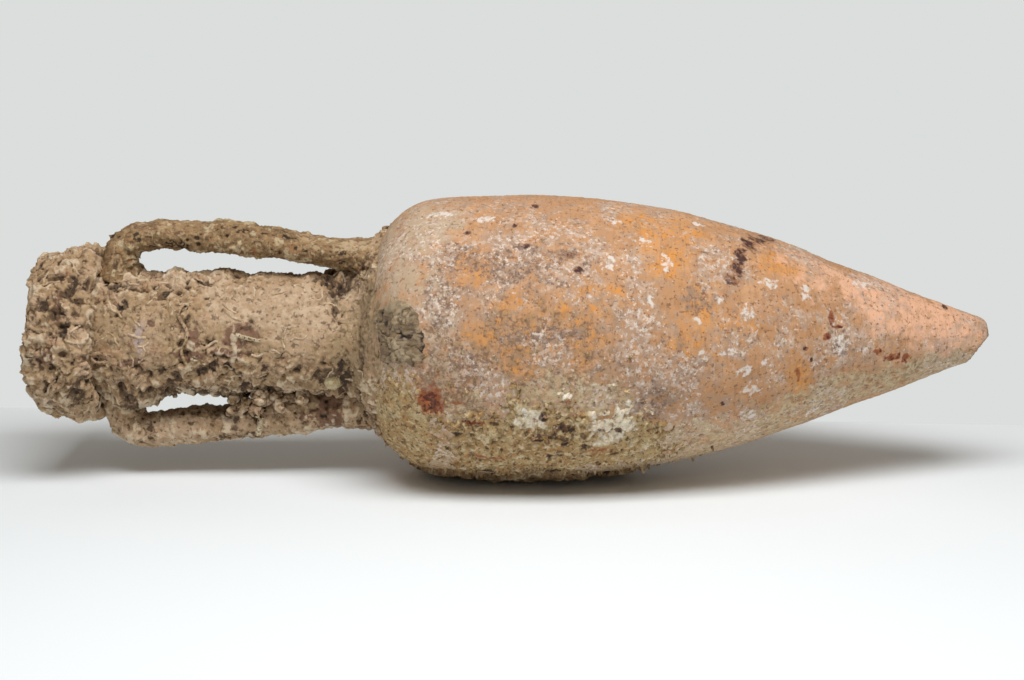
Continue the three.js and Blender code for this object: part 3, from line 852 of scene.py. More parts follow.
@dataclass(frozen=True)
class Coat:
    """One coat of colour over those before it."""

    colour: str
    low: float
    high: float
    grain: float = 4.0  # mm across the blotches or between the flecks
    strength: float = 1.0
    mix: float = 1.0  # how much the blotches break it up, or the share of cells with a fleck
    mask: str = ""  # the layer of the mesh that says where the coat lies
    pattern: Pattern = Pattern.CLOUDS
    stretch: tuple[float, float, float] = (1, 1, 1)


def fleck(*values: str | float) -> Coat:
    """A coat of scattered flecks, from its colour and numbers in order."""
    return Coat(*values, pattern=Pattern.FLECKS)


@dataclass(frozen=True)
class Finish:
    """A surface's material: its name, its ground colour, its coats and its fine relief."""

    name: str
    ground: str
    coats: tuple[Coat, ...]
    roughness: float = 0.9
    ior: float = 1.5
    bumps: tuple[tuple[float, float], ...] = ((1.6, 0.25), (0.7, 0.12))  # size and height in mm

    def build(self) -> bpy.types.Material:
        """Makes the material, once.

        Returns:
            The material.
        """
        made = bpy.data.materials.get(self.name)
        if made:
            return made
        material = bpy.data.materials.new(self.name)
        material.use_nodes = True
        tree = material.node_tree
        tree.nodes.clear()
        spot = add_node(tree, "ShaderNodeTexCoord", {}).outputs["Object"]
        colour: object = linear(self.ground)
        for number, coat in enumerate(self.coats):
            links = {0: self._share(tree, spot, coat, number), 6: colour, 7: linear(coat.colour)}
            colour = add_node(tree, "ShaderNodeMix", links, data_type="RGBA").outputs[2]
        links = {"Base Color": colour, "Roughness": self.roughness, "IOR": self.ior}
        links["Normal"] = self._bump(tree, spot)
        shader = add_node(tree, "ShaderNodeBsdfPrincipled", links)
        add_node(tree, "ShaderNodeOutputMaterial", {"Surface": shader.outputs[0]})
        return material

    def _share(self, tree: Tree, spot: Socket, coat: Coat, number: int) -> Socket:
        """How much of a coat lies at each point of the surface.

        Args:
            tree: The node tree.
            spot: The point on the object.
            coat: The coat.
            number: The coat's place in the list, which moves its pattern.

        Returns:
            A share from 0 to 1.
        """
        stretch = tuple(s / (coat.grain * MM) for s in coat.stretch)
        links = {"Vector": spot, "Scale": stretch, "Location": (number * 3.7, number * 1.3, 5.1)}
        moved = add_node(tree, "ShaderNodeMapping", links).outputs[0]
        if coat.pattern is Pattern.FLECKS:
            cells = add_node(tree, "ShaderNodeTexVoronoi", {"Vector": moved, "Scale": 1.0}).outputs
            pick = add_node(tree, "ShaderNodeSeparateColor", {0: cells["Color"]}).outputs[0]
            carries = reckon(tree, "LESS_THAN", pick, coat.mix)
            edge = soft_step(tree, cells["Distance"], coat.high, coat.low, coat.strength)
            return reckon(tree, "MULTIPLY", carries, edge)
        links = {"Vector": moved, "Scale": 1.0, "Detail": 5.0, "Roughness": 0.62}
        cloud = add_node(tree, "ShaderNodeTexNoise", links).outputs["Fac"]
        level = 1.0 if coat.mask else 0.5
        value = reckon(tree, "MULTIPLY_ADD", cloud, coat.mix, level - 0.5 * coat.mix)
        if coat.mask:
            layer = add_node(tree, "ShaderNodeAttribute", {}, attribute_name=coat.mask)
            value = reckon(tree, "MULTIPLY", value, layer.outputs["Fac"])
        return soft_step(tree, value, coat.low, coat.high, coat.strength)

    def _bump(self, tree: Tree, spot: Socket) -> Socket:
        """The fine relief that is too small for the mesh.

        Args:
            tree: The node tree.
            spot: The point on the object.

        Returns:
            The bumped normal.
        """
        total: object = 0.0
        for size, height in self.bumps:
            links = {"Vector": spot, "Scale": 1 / (size * MM), "Detail": 2.0, "Roughness": 0.55}
            cloud = add_node(tree, "ShaderNodeTexNoise", links).outputs["Fac"]
            total = reckon(tree, "MULTIPLY_ADD", cloud, height * MM, total)
        links = {"Height": total, "Distance": 1.0, "Strength": 1.0}
        return add_node(tree, "ShaderNodeBump", links).outputs[0]


CRUST_LAYERS = ("pale", "rust", "lilac", "green", "shade")

# Fired clay: orange where it is bare, speckled over with a thin lilac-grey bloom of lime and silt.
BODY_CLAY = Finish(
    "fired clay thrown on the wheel and filmed with lime",
    "b98b63",
    (
        Coat("cb9d75", 0.46, 0.62, 34, 0.7), Coat("a8774c", 0.5, 0.66, 13, 0.5),
        Coat("e6b392", 0.4, 1.0, 11, 0.9, 2.6, "salmon"), Coat("cd9050", 0.4, 1.5, 16, 0.75, 3.0, "warm"),
        Coat("d88e38", 0.9, 1.6, 9, 0.68, 4.5, "warm"), Coat("927a5e", 0.5, 1.1, 9, 0.7, 3.5, "drab"),
        Coat("a48f7e", 0.5, 1.25, 13, 0.6, 4.5, "bloom"),
        Coat("8b7768", 0.55, 1.3, 10, 0.62, 4.5, "lilac"),
        Coat("8a6c54", 0.54, 0.72, 3.4, 0.3, 1.7, stretch=(1, 0.14, 0.14)),
        Coat("b8a389", 0.4, 1.2, 14, 0.85, 3.2, "cream"),
        Coat("bba482", 0.4, 1.25, 12, 0.78, 3.5, "green"),
        Coat("ccbb99", 0.85, 1.4, 5.5, 0.65, 5.0, "green"),
        Coat("6c5238", 0.95, 1.45, 6, 0.38, 4.5, "green"),
        Coat("c8b3a3", 0.85, 1.45, 6, 0.6, 5.5, "bloom"), Coat("6b5040", 0.8, 1.3, 4, 0.6, 5.0, "drab"),
        Coat("665046", 0.95, 1.45, 4.5, 0.62, 5.0, "lilac"),
        Coat("e2d7cc", 1.2, 1.65, 4, 0.62, 6.0, "bloom"), Coat("5f4231", 0.6, 0.74, 3.8, 0.6, 1.7),
        fleck("dfd2c6", 0.06, 0.2, 4.6, 0.6, 0.16), fleck("453026", 0.05, 0.17, 7, 0.75, 0.24),
        Coat("ddd5cd", 0.5, 1.2, 5, 0.85, 4.5, "white"), Coat("8c4a26", 0.3, 0.95, 7, 0.92, 3.2, "rust"),
        Coat("4a1e18", 0.75, 1.25, 5, 0.85, 3.5, "rust"), Coat("6b4433", 0.25, 0.8, 6, 0.6, 3.0, "dark"),
        # the buried coat at this line's end is painted shade on the shoulder's clay under the root's crust
        Coat("3c1f1c", 0.5, 1.05, 4.5, 0.92, 3.5, "dark"), Coat("4a3828", 0.3, 0.5, 4, 1, 1, "buried"),
    ),
    bumps=((2.2, 0.3), (0.8, 0.14)),
)

# Clay that the crust covers, and the inside of the mouth: painted dark brown as shade, for it shows only
# down in the holes and within the mouth.
BURIED_CLAY = Finish(
    "fired clay stained dark under the crust", "3d2d20", (Coat("5a4630", 0.48, 0.6, grain=6),)
)

# Lime crust: chalky and grey-brown, with pale crests and stains of iron and algae; painted shade darkens
# its holes, the neck's underside and the recesses round the handles' feet.
LIME_CRUST = Finish(
    "sea lime grown as a rough crust",
    "a68a68",
    (
        Coat("b6997c", 0.46, 0.62, 24), Coat("7c6244", 0.5, 0.66, 12, 0.7),
        Coat("c0a685", 0.5, 0.66, 5, 0.65, 1.4), Coat("9e7250", 0.54, 0.7, 14, 0.4, 1.2),
        Coat("948061", 0.5, 1.1, 6, 0.6, 3.5, "green"), Coat("b59a7d", 0.45, 1.05, 13, 0.85, 2.6, "pale"),
        Coat("cdb69a", 0.8, 1.4, 8, 0.6, 4.0, "pale"), Coat("735240", 0.35, 0.85, 6, 0.85, 2.4, "rust"),
        Coat("b4a2a0", 0.55, 1.05, 3.5, 0.75, 4.0, "lilac"),
        # the shade coat is painted shade, dark brown, under the neck and the rim and in the recesses round
        # the handles' feet, with some dark crust at the root
        Coat("443223", 0.5, 1.2, 7, 0.86, 3.2, "shade"), Coat("4f3a28", 0.57, 0.72, 5, 0.65, 1.7),
        Coat("dccaae", 0.5, 1.15, 9, 0.62, 3.2, "crest"),
        # the hollow coats are painted shade down in the crust's holes
        Coat("523d2a", 0.35, 1.0, 7, 0.82, 3.0, "hollow"),
        Coat("20150d", 0.95, 1.6, 6, 0.88, 3.4, "hollow"), fleck("e4d8c2", 0.07, 0.19, 3.2, 0.6, 0.16),
        fleck("38291d", 0.06, 0.17, 4, 0.6, 0.14),
    ),
    roughness=0.93,
    bumps=((2.2, 0.6), (0.9, 0.25)),
)

# Darker crust of the handles and the underside, brown with iron and old algae, with painted shade in its
# holes.
DARK_CRUST = Finish(
    "dark sea crust of lime, iron and silt",
    "866b4a",
    (
        Coat("9c7f5a", 0.46, 0.62, 20), Coat("664c33", 0.5, 0.66, 9, 0.8),
        Coat("ae9570", 0.52, 0.68, 4, 0.6, 1.4), Coat("8a5330", 0.55, 0.7, 9, 0.5, 1.3),
        Coat("46341f", 0.57, 0.72, 2.6, 0.6, 1.7), Coat("cdbc9a", 0.5, 1.05, 3.5, 0.6, 2.6, "crest"),
        # the hollow coat is painted shade in the crust's holes
        Coat("281c14", 0.42, 0.9, 3, 0.9, 2.0, "hollow"), fleck("d8ccb4", 0.08, 0.2, 3.5, 0.55, 0.12),
        fleck("271a12", 0.06, 0.2, 4.5, 0.7, 0.16),
    ),
    roughness=0.93,
    bumps=((1.5, 0.5), (0.6, 0.25)),
)

# Smooth fired clay of the straps, browned by the sea where the crust has come off; painted shade darkens
# the upper strap's lower front edge and its pits.
STRAP_CLAY = Finish(
    "fired clay pulled by hand and browned by the sea",
    "927552",
    (
        Coat("a98c68", 0.46, 0.62, 18, stretch=(0.5, 1, 1)),
        Coat("6c4e35", 0.5, 0.64, 9, 0.8, stretch=(0.5, 1, 1)),
        Coat("b8a380", 0.54, 0.68, 5, 0.65, 1.4, stretch=(0.6, 1, 1)),
        Coat("b9a283", 0.5, 1.1, 5, 0.75, 3.5, "pale"),
        Coat("4b3625", 0.56, 0.7, 3.4, 0.65, 1.6, stretch=(0.6, 1, 1)),
        # the shade coat is painted shade along the upper strap's lower front edge, and the hollow coat
        # below is painted shade in its pits
        Coat("74452c", 0.55, 1.15, 5, 0.6, 3.5, "rust"), Coat("4a3725", 0.5, 1.1, 5, 0.8, 3.5, "shade"),
        Coat("2f2118", 0.45, 1.0, 3, 0.85, 2.0, "hollow"), fleck("d6cab2", 0.08, 0.2, 3.5, 0.5, 0.1),
    ),
    bumps=((1.8, 0.35), (0.7, 0.18)),
)

# Thin grey-green skin of lime and algae on the shoulder and the belly, mottled like old plaster, with
# painted shade in its holes and craters and along the belly's underside.
GREEN_CRUST = Finish(
    "grey-green film of lime and algae",
    "a68557",
    (
        Coat("b39a6e", 0.46, 0.62, 26), Coat("7c6342", 0.5, 0.66, 12, 0.8),
        Coat("c5b18c", 0.54, 0.68, 15, 0.6, 1.2), Coat("d1be96", 0.53, 0.68, 5, 0.7, 1.6),
        Coat("b27a42", 0.56, 0.72, 10, 0.5, 1.4), Coat("4e3722", 0.56, 0.7, 4.4, 0.75, 1.7),
        Coat("dacbb0", 0.35, 1.1, 9, 0.88, 4.2, "pale"), Coat("ece4d4", 0.8, 1.35, 4.2, 0.8, 5.5, "pale"),
        Coat("95502a", 0.4, 0.9, 6, 0.88, 2.5, "rust"), Coat("4a1e18", 0.85, 1.3, 4, 0.85, 4.0, "rust"),
        # the shade coat is painted shade round the craters and along the belly's underside; the hollow
        # coats below are painted shade in the holes and craters
        Coat("5a3a24", 0.5, 1.1, 6, 0.75, 3.5, "shade"), Coat("ded3b8", 0.45, 1.0, 4, 0.65, 2.6, "crest"),
        Coat("573a26", 0.4, 1.05, 5, 0.88, 3.2, "hollow"),
        Coat("25160e", 0.95, 1.55, 4.5, 0.88, 3.4, "hollow"), fleck("3c2c20", 0.06, 0.18, 4.5, 0.7, 0.14),
    ),
    bumps=((1.8, 0.4), (0.7, 0.2)),
)

# Oyster: slate-brown and purple-grey, in thin layers that broke off one behind the other, with painted
# shade in the creases between them.
OYSTER_LIME = Finish(
    "oyster shell in broken layers",
    "78644a",
    (
        Coat("927f66", 0.46, 0.62, 14, stretch=(1, 1, 2.5)),
        Coat("4c4038", 0.49, 0.64, 8, 0.8, stretch=(1, 1, 3)), Coat("a08a6a", 0.54, 0.7, 6, 0.55, 1.3),
        Coat("b8a586", 0.5, 1.1, 3.5, 0.5, 2.2, "crest"),
        Coat("2a201b", 0.3, 0.8, 4, 0.92, 1.4, "hollow"),
    ),
    roughness=0.85,
)

# Clam: chalky cream with growth rings that end in ochre, and painted shade in the grooves between its ribs
# and rings.
CLAM_LIME = Finish(
    "clam shell with growth rings",
    "b5a47c",
    (
        Coat("c9bc9a", 0.46, 0.6, 5), Coat("a17f4c", 0.5, 0.66, 6, 0.6, 1.3),
        Coat("6c5a40", 0.5, 0.8, 2, 0.7, 0.8, "hollow"),
    ),
    roughness=0.8,
)

# Worm tubes: hard and chalky, pale where they were broken, with painted shade in their hollows and inside
# their open ends.
WORM_LIME = Finish(
    "worm tube of white lime",
    "b9a788",
    (
        Coat("d3c6ac", 0.48, 0.62, 4), Coat("86704d", 0.5, 0.64, 3, 0.75, 1.4),
        Coat("3c2c1e", 0.5, 0.85, 2, 0.85, 0.8, "hollow"),
    ),
    roughness=0.85,
)


def settle(blank: Blank, nodes: tuple[str, ...], finish: Finish) -> bpy.types.Object:
    """Makes a finished blank a piece of the jar.

    Args:
        blank: The finished blank.
        nodes: The CAD nodes that it stands for.
        finish: Its material.

    Returns:
        The piece.
    """
    mesh = blank.mesh
    mesh.shade_smooth()
    mesh.set_sharp_from_angle(angle=SHARP_ANGLE)
    mesh.materials.append(finish.build())
    piece = bpy.data.objects.new(mesh.name, mesh)
    bpy.context.scene.collection.objects.link(piece)
    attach(piece, "root")
    if nodes:
        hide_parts(*nodes)
    log.info("%s: %d faces", piece.name, len(mesh.polygons))
    return piece


def note_relief(blank: Blank, fine: Array, depth: float) -> None:
    """Notes where a relief is high and where it is deep, for the finish, which paints shade into the deep
    places.

    Args:
        blank: The blank.
        fine: Its fine relief, in metres.
        depth: The relief that counts as fully deep or high, in millimetres.
    """
    share = fine / (depth * MM)
    blank.note("hollow", np.clip(-share - 0.1, 0, 1.2) * blank.skin)
    blank.note("crest", np.clip(share, 0, 1) * blank.skin)


@dataclass(frozen=True)
class Crust:
    """How a mass of crust looks: its relief, where it is thicker or calmer, and where it ends."""

    grains: Grains
    extra: Extras = ()
    calm: Marks = ()  # where the relief is low
    ends: Span | None = None  # mm along the jar, where it feathers out
    feather: float = 8.0
    depth: float = 2.0  # relief in mm that shows as a full hollow or crest
    least: float = 0.6  # mm of crust that is left in the deepest holes
    calming: float = 0.7  # share of the relief that a calm place loses
    dent: float = -3.0  # mm: marks that take off more than this look like holes
    dent_shade: float = 0.45  # how strongly those holes darken the finish

    def lay(self, blank: Blank, thickness: Array) -> None:
        """Raises the crust on a blank.

        Args:
            blank: The blank, whose skin lies on the clay.
            thickness: The crust's even thickness at each point, in millimetres.
        """
        places = blank.places
        thickness = thickness.copy()
        dents = np.zeros(len(thickness))
        for mark, more in self.extra:
            change = more * mark.cover(places)
            thickness += change
            if more < self.dent:
                dents += change
        thickness = np.maximum(thickness, self.least)
        fine = relief_of(places, self.grains) * (1 - self.calming * painted(places, self.calm))
        if self.ends:
            along = places.x / MM
            inside = np.minimum(along - self.ends[0], self.ends[1] - along)
            wander = self.feather * 0.7 * Noise.clouds(places.points, 14 * MM, 8)
            thickness = (thickness + HIDDEN) * ramp(inside + wander, 0, self.feather) - HIDDEN
        share = np.clip(thickness / 2, 0.2, 1)
        blank.raise_by(np.maximum(thickness * MM + fine * share, -HIDDEN * MM))
        note_relief(blank, fine + self.dent_shade * dents * MM, self.depth)


# The jar


BODY_OUTLINE = Outline(
    (
        (-488, 57), (-440, 57), (-380, 57), (-300, 57), (-220, 57), (-175, 57), (-159.9, 57),
        (-154.5, 57.7), (-149.4, 59.7), (-144.9, 62.9), (-141.4, 67), (-139, 72), (-138, 77.3),
        (-135, 92.6), (-128.6, 106.8), (-119.2, 119.2), (-107.2, 129.1), (-93.3, 136), (-78.1, 139.6),
        (-56, 142), (-32, 143.7), (-15.2, 144.5), (13.9, 145), (47.8, 144.3), (80, 142.2), (110.7, 139),
        (145.9, 133.8), (172.9, 128.7), (204, 121.5), (234.1, 113.5), (264, 104), (293.9, 93.4),
        (343, 74.5), (392.9, 55.7), (423.5, 44.1), (454.2, 32.5), (478, 23.8), (486, 20.6), (490.5, 17.6),
        (493, 12.6), (493.7, 6), (493.9, 0.05),
    )
)


@dataclass
class ThrownJar:
    """The clay jar: neck, shoulder, belly, lower body and toe, thrown apart and luted together."""

    layers: tuple[str, ...] = (
        "warm", "lilac", "cream", "green", "salmon", "drab", "white", "rust", "dark"
    )
    joints: tuple[float, ...] = (-485.9, -147.8, -32.0, 146.0, 393.0)  # mm along the jar
    tip: float = 493.9
    wall: float = 13.0
    step: float = 1.7 * MM
    white_rise: float = 0.35  # mm that the white marks stand out
    dark_dip: float = 0.3  # mm that the dark marks lie in
    chip_roughness: float = 0.9  # mm
    chip_place: Point = (486.0, 0.0, 138.0)  # a point on the broken face
    chip_facing: Point = (0.78, -0.30, -0.55)
    collar_knots: Knots = (
        (-486.2, 45.5), (-490, 48.5), (-493.6, 54), (-493.9, 60), (-493.6, 68), (-491.5, 74.5),
        (-486, 77.2), (-465, 80.5), (-446, 83.6), (-439, 83), (-436.3, 79), (-437.1, 71.5),
        (-438.9, 63), (-441.9, 57.6),
    )
    collar_inside: Knots = ((-441.9, 57.3), (-486.2, 57.3), (-486.2, 45.2))
    grains: Grains = (
        Grain(Form.CLOUDS, 70, 0.9, 1), Grain(Form.TURNS, 7.5, 0.1, 2),
        Grain(Form.CLOUDS, 9, 0.28, 3, octaves=3), Grain(Form.DOMES, 6, 0.3, 4, 0.35),
        Grain(Form.PITS, 9, 0.8, 5, 0.18),
    )
    warm: Marks = marks(
        (-34, -52, 25, 23), (26, -79, 72, 48), (87, -64, 31, 17), (167, -37, 41, 43), (139, -27, 31, 28),
        (222, -73, 25, 15), (185, -75, 41, 31), (288, -105, 14, 33), (267, -34, 31, 18),
        (40, 20, 90, 50, 0.45, 0.55), (120, 85, 70, 60), (-20, 110, 50, 50), (250, 60, 60, 40),
    )
    lilac: Marks = marks(
        (30, -62, 130, 62, 0.7, 0.62), (150, -90, 60, 50, 0.6, 0.7), (-10, -50, 83, 31, 0.5),
        (34, -78, 52, 12), (137, -108, 27, 27), (-67, -64, 27, 28), (185, -62, 21, 22),
        (10, 60, 60, 40, 0.5), (170, 120, 60, 40, 0.5), (330, -84, 20, 16),
    )
    cream: Marks = marks(
        (-80, -23, 48, 44, 0.5), (-103, -39, 23, 42, 0.5), (-119, -62, 14, 43), (-118, -40, 24, 110, 0.5),
        (-62, -88, 22, 44, 0.6, 0.85), (-84, -52, 26, 26, 0.6, 0.7), (-98, -58, 30, 56, 0.6, 0.9),
        (-70, -70, 24, 60, 0.7, 0.75), (-120, 100, 22, 120, 0.5), (-95, 30, 36, 60, 0.5),
        (-95, 100, 30, 60, 0.5),
    )
    green: Marks = marks(
        (58, -104, 62, 34, 0.6), (-44, -112, 40, 30, 0.6), (150, -128, 60, 24, 0.6),
        (-112, -117, 26, 75, 0.5), (-89, -145, 40, 60, 0.4), (310, -125, 90, 30, 0.5),
        (240, -145, 90, 42, 0.5), (150, -150, 90, 60, 0.5), (30, -160, 130, 70, 0.5),
        (-40, 160, 90, 60, 0.5), (200, 165, 160, 50, 0.5), (385, -125, 60, 26, 0.5),
        (470, -98, 18, 14, 0.7, 0.7), (440, -130, 60, 24, 0.5), (420, 170, 80, 34, 0.5),
    )
    drab: Marks = marks(
        (-55, -95, 40, 60, 0.6), (20, -92, 90, 36, 0.6, 0.8), (130, -105, 60, 26, 0.6, 0.7),
        (25, -76, 80, 34, 0.7, 0.85), (-10, 90, 100, 90, 0.6, 0.8),
    )
    salmon: Marks = marks((410, -42, 95, 48, 0.6), (300, -30, 70, 40, 0.6, 0.7), (410, 60, 95, 60, 0.6))
    white: Marks = marks(
        (102, -24, 8, 8, 0.8), (128, -35, 9, 9, 0.8), (98, -47, 4, 11, 0.8), (152, -46, 6, 10, 0.8),
        (183, -71, 5, 5, 0.8), (-24, -26, 12, 6, 0.8), (256, -48, 11, 6, 0.8), (234, -66, 9, 9, 0.8),
        (294, -50, 6, 10, 0.8), (357, -29, 11, 6, 0.8, 1, 25), (187, -85, 4, 4, 0.8),
        (218, -86, 12, 5, 0.8), (251, -92, 9, 4, 0.8, 1, -20), (231, -95, 10, 5, 0.8),
        (189, -15, 7, 5, 0.8), (240, -106, 10, 7, 0.8, 1, 20), (240, -122, 13, 5, 0.8, 1, -30),
        (306, -136, 8, 8, 0.8), (330, -84, 8, 13, 0.8), (205, -61, 5, 4, 0.8), (136, -63, 4, 9, 0.8),
        (-70, -20, 16, 7, 0.8), (60, 40, 12, 9, 0.8), (150, 70, 9, 14, 0.8), (-30, 95, 14, 8, 0.8),
        (240, 110, 11, 8, 0.8), (330, 40, 8, 8, 0.8), (90, 130, 16, 10, 0.8), ragged=0.6,
    )
    rust: Marks = marks(
        (-76, -105, 14, 16, 0.7, 1, 0, 0.3), (-46, -106, 17, 3, 0.7, 0.7), (57, -104, 3, 4),
        (319, -65, 3, 10), (326, -71, 7, 2), (314, -78, 5, 4), (370, -91, 5, 4), (385, -98, 9, 4),
        (400, -102, 5, 5), (286, -101, 3, 9, 0.45, 0.7), (180, 100, 8, 5),
    )
    dark: Marks = marks(
        (262, -5, 10, 16, 0.7, 0.8, 40), (250, -14, 9, 11, 0.7, 0.9, 40), (239, -23, 8, 12, 0.7),
        (229, -34, 7, 12, 0.7), (224, -43, 7, 10, 0.7), (217, -50, 10, 7, 0.7, 0.85),
        (-76, -107, 7, 8, 0.45, 0.75), (25, -15, 4, 6), (-41, -34, 4, 3), (16, -41, 5, 4),
        (66, -52, 5, 4), (5, -30, 3, 3), (10, -42, 8, 4, 0.45, 0.6), (58, -45, 14, 5, 0.45, 0.55),
        (292, -85, 3, 3), (299, -93, 2, 3), (210, -112, 3, 3), (447, -16, 3, 7),
        (120, 60, 10, 5, 0.45, 0.7), (-10, 130, 8, 8, 0.45, 0.7),
    )

    def build(self) -> None:
        """Builds the six clay pieces."""
        names = ("neck", "shoulder", "belly", "lower_body", "toe_spike")
        sides = (256, 512, 560, 512, 256)
        slots = ("pale_clay", "pale_clay", "fired_clay", "fired_clay", "fired_clay")
        ends = (*self.joints[1:], self.tip)
        for name, start, end, count, slot in zip(names, self.joints, ends, sides, slots):
            self.section(name, start, end, count)
        self.collar()

    def section(self, node: str, start: float, end: float, sides: int) -> None:
        """Throws one section.

        Args:
            node: The CAD node that it stands for.
            start: Where it starts, in millimetres along the jar.
            end: Where it ends.
            sides: How many steps make a full turn.
        """
        outer = BODY_OUTLINE.cut(start, end, self.step * COARSER)
        name = f"thrown_{node}"
        if node == "toe_spike":
            rows = np.column_stack([outer, np.ones(len(outer))])
            plug = [(outer[0, 0], 0.0, -1.0, 0.0, 0.0)]
            outer_end = [(end * MM, 0.0, 1.0, 0.0, 1.0)]
            blank = turned(name, np.vstack([plug, rows, outer_end]), sides, closed=False)
        else:
            blank = turned(name, shell_profile(outer, self.wall * MM), sides)
        places = blank.places
        fine = relief_of(places, self.grains)
        growth = self.white_rise * painted(places, self.white) - self.dark_dip * painted(places, self.dark)
        blank.raise_by(fine + growth * MM)
        if node == "toe_spike":
            self.chip(blank)
        if node != "neck":
            self.paint(blank)
        settle(blank, (node,), BURIED_CLAY if node == "neck" else BODY_CLAY)

    def chip(self, blank: Blank) -> None:
        """Breaks a flake off the tip's lower front, down to a rough plane."""
        away = np.array(self.chip_facing) / np.linalg.norm(self.chip_facing)
        over = (blank.points - np.array(self.chip_place) * MM) @ away
        rough = Noise.clouds(blank.points, 7 * MM, 19) * self.chip_roughness * MM
        blank.move(blank.points - np.maximum(over - rough, 0)[:, None] * away)

    def paint(self, blank: Blank) -> None:
        """Notes where each of the body's stains and films lies.

        Args:
            blank: The blank to paint.
        """
        places = blank.places
        stains = {name: painted(places, getattr(self, name)) for name in self.layers}
        drift = 0.8 + 0.25 * Noise.clouds(places.points, 45 * MM, 11)
        raised = 0.2 * stains["lilac"] - 0.2 * stains["warm"] - 0.2 * stains["salmon"]
        stains["bloom"] = np.clip(drift + raised, 0, 1)
        # painted shade on the clay that lies under the crust of the neck's root
        stains["buried"] = ramp(places.x / MM, -132, -138)
        for name, values in stains.items():
            blank.note(name, values)

    def collar(self) -> None:
        """Throws the collar rim, which lies over the neck's end."""
        skin = smooth_line(np.array(self.collar_knots) * MM, self.step * COARSER)
        outer = np.column_stack([faced(skin), np.ones(len(skin))])
        inside = np.array(self.collar_inside) * MM
        profile = np.vstack([outer, np.column_stack([inside, np.zeros((len(inside), 3))])])
        profile[:, 0] += RIM_SETBACK * MM
        blank = turned("thrown_collar", profile, 320)
        blank.raise_by(relief_of(blank.places, (*self.grains, Grain(Form.CLOUDS, 16, 0.8, 14))))
        settle(blank, ("rim_collar",), BURIED_CLAY)


STRAP_KNOTS = (
    (-401, 50), (-401, 64), (-400.9, 77), (-398.4, 88.4), (-391.9, 96.5), (-380.7, 101.4), (-364.9, 103),
    (-320, 98.9), (-270, 94.1), (-220, 89), (-193.9, 86.4), (-160, 84.2), (-122, 84),
)


